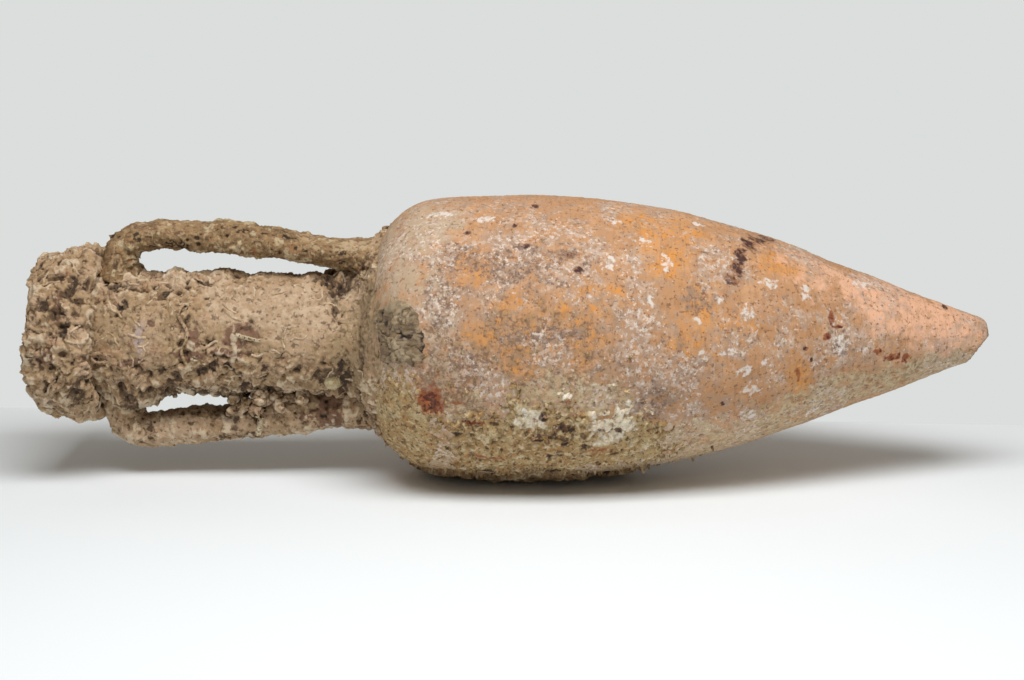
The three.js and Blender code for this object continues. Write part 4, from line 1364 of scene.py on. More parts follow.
@dataclass
class Handles:
    """The two long strap handles, one above the neck and one under it."""

    half_width: float = 21.0
    half_depth: float = 13.2
    # millimetres along the jar, and how many the strap lies outside the solid one
    upper_bow: Knots = (
        (-390, 0), (-354, 3), (-314, 5), (-274, 6), (-247, 5), (-219, 4), (-192, 3), (-150, 0),
    )
    lower_bow: Knots = (
        (-390, 0), (-354, -2.5), (-300, -1.5), (-270, 0), (-222, -4), (-170, -6), (-140, -3), (-122, 0),
    )
    crust_ends: Span = (-440, -132)  # mm along the jar
    crust_wall: float = 2.5  # mm between the crust's skin and its inner face
    crust_rings: int = 12  # the inner face keeps one ring in this many
    step: float = 1.4 * MM
    sides: int = 96
    rust: Marks = marks(
        (-382, -18, 14, 16, 0.45, 0.8), (-352, -12, 10, 8, 0.45, 0.7), (-300, -16, 20, 4, 0.45, 0.6),
        (-190, -14, 14, 5, 0.45, 0.6),
    )
    pale: Marks = marks((-268, -12, 26, 9), (-330, -14, 14, 6), (-160, -10, 26, 8))
    # painted shade along the upper strap's lower front edge and by its feet
    shade: Marks = marks(
        (-215, -18, 30, 7), (-174, -20, 26, 9), (-345, -22, 34, 5), (-398, -26, 10, 26, 0.45, 0.8),
    )
    strap_grains: Grains = (
        Grain(Form.CLOUDS, 26, 1.4, 21), Grain(Form.CLOUDS, 8, 0.8, 22, octaves=4),
        Grain(Form.RIDGES, 10, 0.7, 29, octaves=3), Grain(Form.PITS, 8, 1.3, 23, 0.25),
    )
    crust_rust: Marks = marks((-205, -160, 22, 10), (-185, -168, 14, 8), (-330, -160, 16, 9))
    crust_pale: Marks = marks(
        (-350, -165, 40, 20), (-250, -160, 24, 12), (-300, 170, 60, 20), (-290, -160, 120, 30, 0.6, 0.7),
    )
    # painted shade: two spots by the rust and a band low on the front of the lower strap's crust
    crust_shade: Marks = marks((-210, -152, 8, 6), (-188, -158, 6, 6), (-280, -172, 30, 8))
    crust_grains: Grains = (
        Grain(Form.CLOUDS, 20, 1.8, 24, octaves=4), Grain(Form.DOMES, 9, 1.6, 25, 0.5),
        Grain(Form.RIDGES, 12, 1.2, 26, octaves=4), Grain(Form.PITS, 8, 2.4, 27, 0.22),
        Grain(Form.DOMES, 4, 0.7, 28, 0.4),
    )

    def build(self) -> None:
        """Builds both straps and their crusts."""
        self.strap("upper", 1)
        self.strap("lower", -1)
        self.sleeve("upper", 1, 3.0, DARK_CRUST, "dark_crust")
        self.sleeve("lower", -1, 4.2, LIME_CRUST, "limy_crust")

    def hoops(self, side: int, end: float = 0.0) -> Hoops:
        """The rings along one strap.

        Args:
            side: 1 for the strap above the neck, -1 for the one under it.
            end: Where the rings of its crust end along the jar, in millimetres.

        Returns:
            The rings.
        """
        knots = np.array([(x, 0, AXIS_HEIGHT / MM + side * reach) for x, reach in STRAP_KNOTS])
        line = smooth_line(knots * MM, self.step * COARSER)
        run = np.linspace(0, 1, len(line))
        bow = np.array(self.upper_bow if side > 0 else self.lower_bow) * MM
        lift = np.interp(line[:, 0], bow[:, 0], bow[:, 1]) * ramp(run, 0.12, 0.2)
        line[:, 2] += side * lift
        spread = 1 + 0.35 * ramp(run, 0.2, 0.02) + 0.4 * ramp(run, 0.82, 1.0)
        width = self.half_width * MM * spread
        depth = self.half_depth * MM * spread
        rings = Hoops.along(line, width, depth, Vector((0, -side, 0)))
        if not end:
            return rings
        keep = (line[:, 0] < end * MM) & (run > 0.03)
        return Hoops(rings.middle[keep], rings.across[keep], rings.outwards[keep], rings.skin[keep])

    def strap(self, name: str, side: int) -> None:
        """Pulls one strap.

        Args:
            name: Which strap it is.
            side: 1 above the neck, -1 under it.
        """
        blank = tube(f"{name}_strap", self.hoops(side), self.sides)
        fine = relief_of(blank.places, self.strap_grains)
        blank.raise_by(fine)
        note_relief(blank, fine, 2.2)
        blank.stain(blank.places, self, ("pale", "rust", "shade"))
        settle(blank, (f"{name}_handle",), STRAP_CLAY)

    def sleeve(self, name: str, side: int, even: float, finish: Finish, slot: str) -> None:
        """Grows the crust round one strap.

        Args:
            name: Which strap it is.
            side: 1 above the neck, -1 under it.
            even: Its even thickness in millimetres.
            finish: Its material.
            slot: Not used.
        """
        rings = self.hoops(side, self.crust_ends[1]).sleeve(self.crust_wall * MM, self.crust_rings)
        blank = tube(f"{name}_strap_crust", rings, self.sides, closed=True)
        places = blank.places
        drift = 1 + 0.5 * Noise.clouds(places.points, 38 * MM, 5)
        foot = ramp(places.reach / MM, 80, 62)
        inside = ramp(places.outward, 0.0, -0.6)
        if side > 0:
            bare = ramp(places.outward + 0.6 * Noise.clouds(places.points, 22 * MM, 6), -0.1, 0.35)
            grown = ramp(places.x / MM, -318, -296) * ramp(places.x / MM, -205, -225)
            drift *= 1 - 1.4 * bare * (1 - foot) * (1 - 0.75 * grown)
        else:
            drift += 0.8 * inside * ramp(places.x / MM, -300, -280)
        crust = Crust(self.crust_grains, ends=self.crust_ends, feather=10, least=-HIDDEN)
        crust.lay(blank, even * drift + 3.0 * foot)
        blank.stain(places, self, CRUST_LAYERS, prefix="crust_")
        settle(blank, (f"{name}_handle_crust",), finish)


@dataclass
class NeckCrusts:
    """The crust on the rim, the neck and the neck's root, with its lumps and small worm tubes."""

    step: float = 1.15 * MM
    wall: float = 3.0  # mm between the crust's skin and its inner face
    rim_wall: float = 2.5
    hole_depth: float = 6.0  # mm
    lumps_seed: int = 7
    casts_seed: int = 17
    lump_count: int = 230
    cast_count: int = 150
    cast_stride: float = 2.6  # mm between two points of a small worm tube
    cast_reach: float = 66.0  # mm from the axis, which turns its strides into angles
    cast_least: int = 4  # a tube with fewer points isn't grown
    cast_start: float = 130.0  # mm from the axis, from where the crust is felt for
    cast_depth: float = 78.0  # mm down from there that the crust lies at most
    grains: Grains = (
        Grain(Form.CLOUDS, 24, 2.0, 31, octaves=4), Grain(Form.DOMES, 13, 1.5, 32, 0.25),
        Grain(Form.RIDGES, 20, 2.3, 33, octaves=3), Grain(Form.RIDGES, 8, 0.8, 39),
        Grain(Form.CREASES, 22, 2.4, 34), Grain(Form.CREASES, 11, 1.3, 40),
        Grain(Form.PITS, 10, 3.2, 35, 0.1), Grain(Form.RINGS, 9, 1.1, 36, 0.16),
        Grain(Form.DOMES, 4.5, 0.4, 37, 0.25), Grain(Form.CLOUDS, 3.2, 0.32, 38),
    )
    lump_grains: Grains = (
        Grain(Form.CLOUDS, 13, 2.4, 46, octaves=3), Grain(Form.RIDGES, 8, 1.3, 41, octaves=3),
        Grain(Form.CLOUDS, 5, 0.7, 42, octaves=3), Grain(Form.PITS, 7, 2.6, 43, 0.4),
    )
    rim_knots: Knots = (
        (-487, 47), (-491, 51), (-493.4, 58), (-493.6, 66), (-492.2, 73), (-487, 77.6), (-465, 80.8),
        (-446, 83.8), (-438, 83.4), (-434, 79), (-434.5, 71), (-437, 64), (-434, 58.5), (-428, 57.2),
    )
    masses: tuple[Lump, ...] = (
        Lump(-395.9, -34, 34, 6), Lump(-395.9, -150, 34, 7), Lump(-341.9, -3, 24, 6),
        Lump(-289.9, -3, 22, 6), Lump(-373.9, 112, 32, 5), Lump(-285.9, 62, 30, 4),
        Lump(-230.9, 150, 28, 4),
    )
    calm: Marks = marks(
        (-228, -60, 62, 46, 0.35), (-190, -88, 30, 30, 0.5), (-300, -62, 34, 26, 0.5),
        (-366, -78, 30, 30, 0.5), (-405, -84, 20, 20, 0.5), (-150, -74, 26, 60, 0.3),
        (-250, 70, 70, 50, 0.5), (-150, 90, 26, 90, 0.5),
    )
    pale: Marks = marks(
        (-397, -23, 26, 16, 0.5), (-299, -30, 16, 32, 0.5), (-338, -14, 22, 22, 0.5),
        (-225, -50, 70, 40, 0.5), (-211, -88, 34, 22, 0.5, 0.75), (-270, -58, 30, 30, 0.5),
        (-475, -60, 12, 30, 0.5, 0.7), (-470, -130, 14, 14, 0.5), (-250, 60, 60, 40, 0.5),
        (-380, 80, 40, 40, 0.5),
    )
    rust: Marks = marks(
        (-270, -80, 19, 14, 0.45, 1, 0, 0.2), (-317, -83, 6, 10), (-322, -99, 17, 6), (-383, -107, 14, 5),
        (-281, -97, 20, 5), (-360, -68, 4, 4), (-460, -95, 12, 10, 0.45, 0.8),
        (-449, -60, 6, 22, 0.45, 0.7), (-300, 110, 20, 12),
    )
    lilac: Marks = marks((-373, -86, 5, 18), (-368, -70, 6, 8, 0.45, 0.7))
    green: Marks = marks(
        (-150, -70, 30, 66, 0.4), (-212, -48, 31, 26, 0.5, 0.7), (-166, -95, 22, 24, 0.5),
        (-390, -70, 30, 26, 0.5, 0.8), (-340, -72, 24, 20, 0.5, 0.7), (-160, 60, 30, 60, 0.5),
    )
    # painted shade: dark brown under the neck, in the gap over the lower strap, on the rim's lower side
    # and round the handles' feet, with some dark crust at the root
    shade: Marks = marks(
        (-146, -60, 10, 60, 0.6, 0.6), (-166, -14, 22, 26, 0.4), (-178, -38, 12, 12, 0.5, 0.8),
        (-300, -150, 130, 19, 0.45, 0.95), (-376, -160, 34, 44, 0.4), (-318, -172, 110, 26, 0.45),
        (-176, -122, 20, 16, 0.4), (-148, -98, 4, 24, 0.45, 0.9), (-140, -160, 22, 34, 0.4, 0.8),
        (-385, -8, 12, 16, 0.4, 0.8), (-478, -98, 12, 12, 0.4, 0.85), (-436, -122, 12, 22, 0.4),
        (-462, -138, 26, 18, 0.5, 0.75), (-484, -80, 6, 34, 0.5, 0.6), (-345, -32, 14, 7, 0.45, 0.6),
        (-430, -40, 6, 30, 0.5, 0.7), (-240, 178, 80, 40, 0.5),
    )
    holes: Marks = marks(
        (-404, -37, 10, 3, 0.45, 1, 25), (-449, -12, 4, 6), (-458, -103, 9, 7), (-436, -123, 5, 12),
        (-191, -43, 5, 7), (-177, -54, 4, 5), (-146, -80, 2.5, 13), (-165, -121, 6, 20),
        (-184, -12, 8, 16), (-171, -30, 7, 9), (-352, -34, 4, 3), (-336, -36, 5, 3), (-470, 60, 6, 9),
        (-300, 140, 8, 5),
    )

    def build(self) -> None:
        """Builds the three sleeves of crust, the lumps and the small worm tubes."""
        self.neck()
        self.root()
        self.rim()
        self.lumps()
        self.casts()

    def coat(
        self, name: str, node: str, slot: str, profile: Array, sides: int, crust: Crust,
        thickness: Callable[[Places, Array], Array],
    ) -> None:
        """Grows a sleeve of crust and notes its stains.

        Args:
            name: The piece's name.
            node: The CAD node that it stands for.
            slot: Not used.
            profile: The sleeve's profile.
            sides: How many steps make a full turn.
            crust: How the crust looks.
            thickness: Its thickness in millimetres, from the places and how far along they are.
        """
        blank = turned(name, profile, sides)
        low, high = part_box(node)
        along = np.clip((blank.points[:, 0] - low.x) / (high.x - low.x), 0, 1)
        crust.lay(blank, thickness(blank.places, along))
        blank.stain(blank.places, self, CRUST_LAYERS)
        settle(blank, (node,), LIME_CRUST)

    def worn(self, *extra: tuple[float, ...]) -> Extras:
        """The marks that add to the crust, from rows of millimetres and a mark, with the holes."""
        rows = tuple((Mark(*mark), more) for more, *mark in extra)
        return (*rows, *((mark, -self.hole_depth) for mark in self.holes))

    def neck(self) -> None:
        """Grows the crust along the neck."""

        def thickness(places: Places, along: Array) -> Array:
            edge = 0.3 + 0.7 * ramp(np.minimum(along, 1 - along), 0, 0.15)
            drift = 0.3 + 0.9 * swelling(9 * along, places, 1)
            lumps = np.max([lump.rise_at(places) for lump in self.masses], axis=0)
            return FEATHER + 4.5 * edge * drift + lumps

        outer = BODY_OUTLINE.cut(-438, -164, self.step * COARSER)
        extra = self.worn(
            (-2.0, -300, 184, 90, 46, 0.4),
            (4.0, -404, 175, 30, 30),
            (4.5, -406, 0, 30, 30),
            (1.0, -210, -92, 34, 14),
            (11.0, -382, -168, 24, 44, 0.5),
            (4.0, -356, -176, 12, 20, 0.5),
            (9.0, -177, -4, 15, 26, 0.5),
            (8.0, -172, 180, 15, 26, 0.5),
        )
        crust = Crust(self.grains, extra, self.calm, ends=(-436, -164), feather=6, depth=2.6)
        profile = shell_profile(outer, self.wall * MM)
        self.coat("neck_concretion", "neck_crust", "limy_crust", profile, 360, crust, thickness)

    def root(self) -> None:
        """Grows the crust round the neck's root and the handles' feet."""

        def thickness(places: Places, along: Array) -> Array:
            climb = (places.reach / MM - NECK_REACH) / 50
            run = np.clip((along * 38 / 50 + climb) / (38 / 50 + 1), 0, 1)
            fullness = ramp(run, -0.2, 0.35) * (1 - ramp(run, 0.5, 1))
            return FEATHER + 9 * fullness * (0.5 + 0.6 * swelling(3 * run, places, 4))

        outer = BODY_OUTLINE.cut(-178, -122, self.step * COARSER)
        extra = self.worn(
            (5.0, -150, 0, 26, 30),
            (4.0, -150, 180, 26, 34),
            (-2.0, -128, -75, 10, 70, 0.4),
        )
        crust = Crust(self.grains, extra, self.calm, ends=(-176, -124), feather=7, depth=2.6)
        profile = shell_profile(outer, self.wall * MM)
        self.coat("root_concretion", "root_crust", "dark_crust", profile, 480, crust, thickness)

    def rim(self) -> None:
        """Grows the crust over the collar rim and round its edges."""

        def thickness(places: Places, along: Array) -> Array:
            side = ramp(places.reach / MM, 66, 76)
            behind = 0.35 + 0.65 * ramp(places.x / MM, -484, -466)
            drift = 0.1 + 1.3 * swelling(5 * along, places, 2, lobes=7)
            return FEATHER + 5 * side * behind * drift

        knots = np.array(self.rim_knots)
        knots[:, 0] += RIM_SETBACK
        outer = faced(smooth_line(knots * MM, self.step * COARSER))
        extra = self.worn(
            (3.0, -489, -100, 12, 18),
            (3.0, -430, 5, 8, 30),
            (2.0, -470, -128, 24, 40),
            (-2.0, -488, -60, 10, 30),
        )
        crust = Crust(self.grains, extra, depth=2.6)
        profile = shell_profile(outer, self.rim_wall * MM)
        self.coat("rim_concretion", "rim_crust", "limy_crust", profile, 480, crust, thickness)

    def lumps(self) -> None:
        """Grows the round lumps that hang from the neck and bridge it to the lower strap."""
        random = np.random.default_rng(self.lumps_seed)
        bm = bmesh.new()
        for number in range(self.lump_count):
            bridging = number % 3 == 0
            left = number % 5 == 1
            start, end = (-290, -205) if bridging else (-378, -345 if left else -205)
            x = random.uniform(start, end)
            swing = random.uniform(-24, 30)
            reach = random.uniform(58, 82) if bridging else random.uniform(54, 65)
            if x < -296:
                reach = random.uniform(54, 60)
            angle = math.radians(180 + swing)
            side, rise = reach * math.sin(angle) * MM, reach * math.cos(angle) * MM
            middle = (x * MM, side, AXIS_HEIGHT + rise)
            size = Matrix.Diagonal((*random.uniform(2.2, 7.5, 3) * MM, 1))
            turn = Matrix.Rotation(random.uniform(0, math.tau), 4, Vector(random.normal(size=3)))
            place = Matrix.Translation(middle) @ turn @ size
            bmesh.ops.create_icosphere(bm, subdivisions=3, radius=1, matrix=place)
        mesh = remeshed(mesh_from(bm, "hanging_lumps"), 1.1 * MM)
        points = read_points(mesh)
        normals = np.zeros(len(points) * 3, np.float32)
        mesh.vertex_normals.foreach_get("vector", normals)
        blank = Blank(mesh, points, normals.reshape(-1, 3), np.ones(len(points)))
        fine = relief_of(blank.places, self.lump_grains)
        blank.raise_by(fine)
        note_relief(blank, fine, 1.6)
        places = blank.places
        pale = ramp(Noise.clouds(places.points, 16 * MM, 44), 0.0, 0.5)
        blank.note("pale", pale * ramp(places.x / MM, -300, -270))
        # painted shade on the lumps at the gap's left end and on those close under the neck
        shade = np.maximum(ramp(places.x / MM, -270, -300), ramp(places.reach / MM, 66, 58))
        blank.note("shade", shade)
        settle(blank, ("gap_nodules",), LIME_CRUST)

    def casts(self) -> None:
        """Grows many small bent worm tubes, half sunk into the crust of the rim and the neck."""
        random = np.random.default_rng(self.casts_seed)
        crust = bmesh.new()
        for name in ("rim_concretion", "neck_concretion", "root_concretion"):
            crust.from_mesh(bpy.data.meshes[name])
        skin = BVHTree.FromBMesh(crust)
        crust.free()
        grown = bmesh.new()
        for _ in range(self.cast_count):
            x, angle = random.uniform(-478, -150), random.uniform(0, math.tau)
            heading = random.uniform(0, math.tau)
            knots = []
            for _ in range(int(random.uniform(5, 11))):
                outwards = Vector((0, math.sin(angle), math.cos(angle)))
                start = Vector((x * MM, 0, AXIS_HEIGHT)) + outwards * (self.cast_start * MM)
                hit = skin.ray_cast(start, -outwards)[0]
                if hit and (hit - start).length < self.cast_depth * MM:
                    knots.append(hit)
                heading += random.uniform(-0.7, 0.7)
                x += self.cast_stride * math.cos(heading)
                angle += self.cast_stride * math.sin(heading) / self.cast_reach
            if len(knots) < self.cast_least:
                continue
            line = smooth_line(even_line(np.array(knots), 3.2 * MM), 1.3 * MM)
            size = np.full(len(line), random.uniform(0.7, 1.5) * MM)
            size *= 1 + 0.12 * np.sin(np.arange(len(line)) * 1.7)
            blank = tube("cast", Hoops.along(line, size, size, TUBE_SIDE), 10)
            grown.from_mesh(blank.mesh)
            bpy.data.meshes.remove(blank.mesh)
        mesh = mesh_from(grown, "small_worm_casts")
        blank = Blank(mesh, read_points(mesh), read_points(mesh), np.ones(len(mesh.vertices)))
        blank.note("crest", np.full(len(mesh.vertices), 0.8))
        settle(blank, (), LIME_CRUST)


def remeshed(mesh: Mesh, voxel: float) -> Mesh:
    """Fuses a mesh's bodies into one skin.

    Args:
        mesh: The mesh, which is removed.
        voxel: The size of the new faces, in metres.

    Returns:
        The fused mesh, under the same name.
    """
    name = mesh.name
    holder = bpy.data.objects.new("holder", mesh)
    bpy.context.scene.collection.objects.link(holder)
    modifier = holder.modifiers.new("fuse", "REMESH")
    modifier.mode = "VOXEL"
    modifier.voxel_size = voxel * COARSER
    graph = bpy.context.evaluated_depsgraph_get()
    fused = bpy.data.meshes.new_from_object(holder.evaluated_get(graph))
    bpy.data.objects.remove(holder)
    bpy.data.meshes.remove(mesh)
    fused.name = name
    return fused


@dataclass(frozen=True)
class Patch:
    """The plan of one patch of crust on the jar's body."""

    name: str
    node: str  # the CAD node that it stands for
    ends: Span  # mm along the jar, where its blank starts and ends
    angles: Span  # degrees round the jar, where its blank starts and ends
    area: Mark  # what it covers
    even: float  # mm of even thickness
    grains: Grains
    finish: Finish = GREEN_CRUST
    slot: str = "green_crust"


@dataclass
class BodyCrusts:
    """The films and crusts on the shoulder, the belly and the underside."""

    step: float = 1.4 * MM
    sink: float = 4.0  # mm that a crust's back lies under the clay's outline
    crater_depth: float = 3.0  # mm
    crater_wall: float = 0.8  # mm
    pale: Marks = marks((104, -113, 25, 37), (49, -100, 25, 14), (20, -112, 16, 12))
    rust: Marks = marks(
        (-76, -106, 14, 16, 0.45, 1, 0, 0.25), (57, -104, 3, 4), (-34, -114, 12, 3),
        (-20, -134, 20, 5, 0.45, 0.7), (90, -130, 14, 4, 0.45, 0.7),
    )
    craters: Marks = marks(
        (27, -122, 8, 6), (56, -117, 9, 7), (56, -124, 7, 7), (73, -128, 4, 5), (43, -121, 6, 4),
        (-27, -117, 3, 3), (-38, -120, 4, 2), (-60, -146, 12, 5), (-20, -150, 14, 4), (40, -148, 12, 4),
        (90, -143, 8, 4),
    )
    # painted shade round the craters and in bands along the belly's underside
    shade: Marks = marks(
        (42, -121, 26, 10, 0.5, 0.6), (-40, -150, 60, 9, 0.5, 0.7), (50, -150, 50, 8, 0.5, 0.6),
        (120, -140, 26, 5, 0.5, 0.5),
    )

    def build(self) -> None:
        """Builds the three masses."""
        film = (Grain(Form.CLOUDS, 22, 0.5, 51), Grain(Form.PITS, 11, 1.0, 52, 0.2))
        area = Mark(-104, -126, 34, 64, ragged=0.2, soft=0.35)
        ends, angles = (-131, -46), (-168, -84)
        self.patch(Patch("shoulder_film", "shoulder_crust", ends, angles, area, 1.3, film))
        rough = (
            Grain(Form.CLOUDS, 26, 1.1, 53, octaves=4), Grain(Form.DOMES, 8, 0.7, 54, 0.4),
            Grain(Form.RIDGES, 14, 1.0, 62, octaves=3), Grain(Form.PITS, 10, 2.2, 55, 0.24),
            Grain(Form.CLOUDS, 6, 0.4, 56),
        )
        area = Mark(38, -128, 112, 62, ragged=0.3, soft=0.4)
        ends, angles = (-122, 192), (-170, -84)
        self.patch(Patch("belly_concretion", "belly_crust", ends, angles, area, 2.4, rough))
        lumpy = (
            Grain(Form.CLOUDS, 20, 1.8, 57, octaves=4), Grain(Form.DOMES, 9, 1.6, 58, 0.6),
            Grain(Form.PITS, 9, 2.4, 59, 0.3), Grain(Form.RIDGES, 8, 0.8, 60),
        )
        area = Mark(22, -178, 114, 76, ragged=0.25, soft=0.25)
        ends, angles, dark = (-130, 206), (-222, -132), (DARK_CRUST, "dark_crust")
        self.patch(Patch("underside_concretion", "rest_crust", ends, angles, area, 4.6, lumpy, *dark))

    def patch(self, plan: Patch) -> None:
        """Grows one patch of crust that feathers out into the clay.

        Args:
            plan: What the patch stands for, its blank, its area and its looks.
        """
        blank = slab(plan.name, plan.ends, plan.angles, self.step, self.sink * MM)
        places = blank.places
        grit = Noise.clouds(places.points, 6 * MM, 63, octaves=4)
        cover = ramp(plan.area.cover(places) + 0.5 * grit, 0.3, 0.75)
        crater = painted(places, self.craters)
        drift = 1 + 0.5 * Noise.clouds(places.points, 30 * MM, 61)
        ring = 4 * crater * (1 - crater)
        clay = relief_of(places, ThrownJar.grains)
        craters = self.crater_wall * ring - self.crater_depth * crater
        fine = relief_of(places, plan.grains) + craters * MM
        thickness = (plan.even * drift * cover + HIDDEN) * cover - HIDDEN
        height = thickness * MM + fine * cover
        floor = 0.3 * cover - 2 * HIDDEN * (1 - ramp(cover, 0.1, 0.5))
        height = np.maximum(height, floor * MM)
        blank.raise_by(clay + np.maximum(height, -2 * HIDDEN * MM))
        over_shelf = np.maximum(blank.points[:, 2], SHELF_GAP)
        blank.move(np.column_stack([blank.points[:, :2], over_shelf]))
        note_relief(blank, fine, 2.0)
        blank.stain(places, self, ("pale", "rust", "shade"))
        settle(blank, (plan.node,), plan.finish)


@dataclass
class Shells:
    """The shells and worm tubes that are cemented into the crust."""

    oyster_plate: Plate = Plate(
        ((-131, -66), (-112, -62), (-93, -66), (-85, -74), (-80, -90), (-126, -92)), reach=122
    )

    def build(self) -> None:
        """Builds the oyster, the clam and the four tubes."""
        self.oyster()
        self.clam()
        self.coil()
        self.long_tube()
        self.stick()
        self.square_tube()

    def oyster(self) -> None:
        """Builds the dark, layered shell on the shoulder."""
        blank = slab("layered_oyster", (-134, -74), (-97, -57), 1.0 * MM, 3 * MM)
        places = blank.places
        cover = self.oyster_plate.cover(places)
        grains = (
            Grain(Form.STEPS, 30, 2.8, 71), Grain(Form.STEPS, 14, 1.2, 72),
            Grain(Form.CREASES, 15, 1.8, 73), Grain(Form.CLOUDS, 6, 0.4, 74),
        )
        fine = relief_of(places, grains)
        height = ((2.8 + HIDDEN) * cover - HIDDEN) * MM + fine * cover
        blank.raise_by(np.maximum(height, -2 * HIDDEN * MM))
        note_relief(blank, fine, 2.0)
        settle(blank, ("oyster_shell",), OYSTER_LIME)

    def clam(self) -> None:
        """Builds the round shell in the gap before the neck's root."""
        low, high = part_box("clam_shell")
        middle = (low + high) / 2
        radius = (high.x - low.x) / 2
        bm = bmesh.new()
        bmesh.ops.create_uvsphere(bm, u_segments=96, v_segments=64, radius=1)
        whole = bm.verts[:] + bm.edges[:] + bm.faces[:]
        cut = {"plane_co": (0, 0, -0.2), "plane_no": (0, 0, -1), "clear_outer": True}
        bmesh.ops.bisect_plane(bm, geom=whole, dist=1e-6, **cut)
        bmesh.ops.holes_fill(bm, edges=[e for e in bm.edges if e.is_boundary], sides=200)
        mesh = mesh_from(bm, "ribbed_clam")
        points = read_points(mesh)
        spoke = np.hypot(points[:, 0], points[:, 1])
        swing = np.arctan2(points[:, 1], points[:, 0] + 0.5)
        rib = 0.03 * np.cos(26 * swing) * spoke
        ring = 0.02 * np.sin(26 * np.hypot(points[:, 0] + 0.7, points[:, 1]))
        lifted = points * (1 + rib + ring)[:, None] * (1, 1.08, 0.62)
        facing = Vector((0.1, -0.8, -0.45)).to_track_quat("Z", "Y").to_matrix()
        placed = (lifted @ np.array(facing).T) * radius + np.array(middle)
        move_points(mesh, placed)
        blank = Blank(mesh, placed, placed * 0, np.ones(len(placed)))
        note_relief(blank, (rib + ring) * radius, 0.4)
        settle(blank, ("clam_shell",), CLAM_LIME)

    def worm(
        self, name: str, node: str, knots: Array, radius: float, finish: Finish = WORM_LIME
    ) -> None:
        """Grows one worm tube along a line.

        Args:
            name: The piece's name.
            node: The CAD node that it stands for.
            knots: Points on its line, in metres.
            radius: Half its width, in metres.
            finish: Its material.
        """
        line = smooth_line(knots, 0.45 * MM)
        size = np.full(len(line), radius) * (1 + 0.05 * np.sin(np.arange(len(line)) * 0.9))
        rings = Hoops.along(line, size, size, TUBE_SIDE).sleeve(radius * 0.45, 3)
        blank = tube(name, rings, 24, closed=True)
        fine = relief_of(blank.places, (Grain(Form.CLOUDS, 3, 0.35, 81, octaves=3),))
        blank.raise_by(fine)
        # painted shade in the skin's hollows, and all over the inner face that shows at the open ends
        blank.note("hollow", np.where(blank.skin > 0, np.clip(-fine / (0.3 * MM), 0, 1), 1.0))
        settle(blank, (node,), finish)

    def on_neck(self, places: list[tuple[float, float, float]]) -> Array:
        """Points near the neck, from rows of place, angle and height over its side in millimetres."""
        rows = []
        for x, angle, rise in places:
            reach = (NECK_REACH + rise) * MM
            swing = math.radians(angle)
            rows.append((x * MM, reach * math.sin(swing), AXIS_HEIGHT + reach * math.cos(swing)))
        return np.array(rows)

    def coil(self) -> None:
        """Grows the small coiled tube near the rim."""
        turns = np.radians(np.linspace(20, 330, 12))
        knots = [(-412.8 + 8 * math.cos(turn), -102 + 5 * math.sin(turn), 5.0) for turn in turns]
        self.worm("coiled_worm_tube", "coil_worm_tube", self.on_neck(knots), 1.5 * MM, LIME_CRUST)

    def long_tube(self) -> None:
        """Grows the crooked tube that runs down the neck's front."""
        knots = [
            (-329, -50, 5.5), (-333, -60, 6.5), (-329, -68, 6.0), (-324, -76, 6.0), (-325, -85, 6.5),
            (-330, -94, 6.0), (-327, -104, 6.0), (-324, -112, 5.5),
        ]
        self.worm("long_worm_tube", "neck_worm_tube", self.on_neck(knots), 1.6 * MM, LIME_CRUST)

    def stick(self) -> None:
        """Grows the short straight tube on the red-brown patch."""
        knots = [(-275, -79, 4.4), (-268, -81, 5.2), (-260, -83, 5.2), (-250, -85, 4.6)]
        self.worm("stick_worm_tube", "stick_worm_tube", self.on_neck(knots), 1.9 * MM)

    def square_tube(self) -> None:
        """Grows the stout white tube in front of the lower strap."""
        low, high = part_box("handle_worm_tube")
        middle = (low + high) / 2
        knots = np.array(
            [
                (middle.x + 2 * MM, middle.y, high.z + 1 * MM),
                (middle.x, middle.y - 0.6 * MM, middle.z),
                (middle.x - 1.5 * MM, middle.y, low.z - 1 * MM),
            ]
        )
        self.worm("stout_worm_tube", "handle_worm_tube", knots, 3.4 * MM)


# The studio


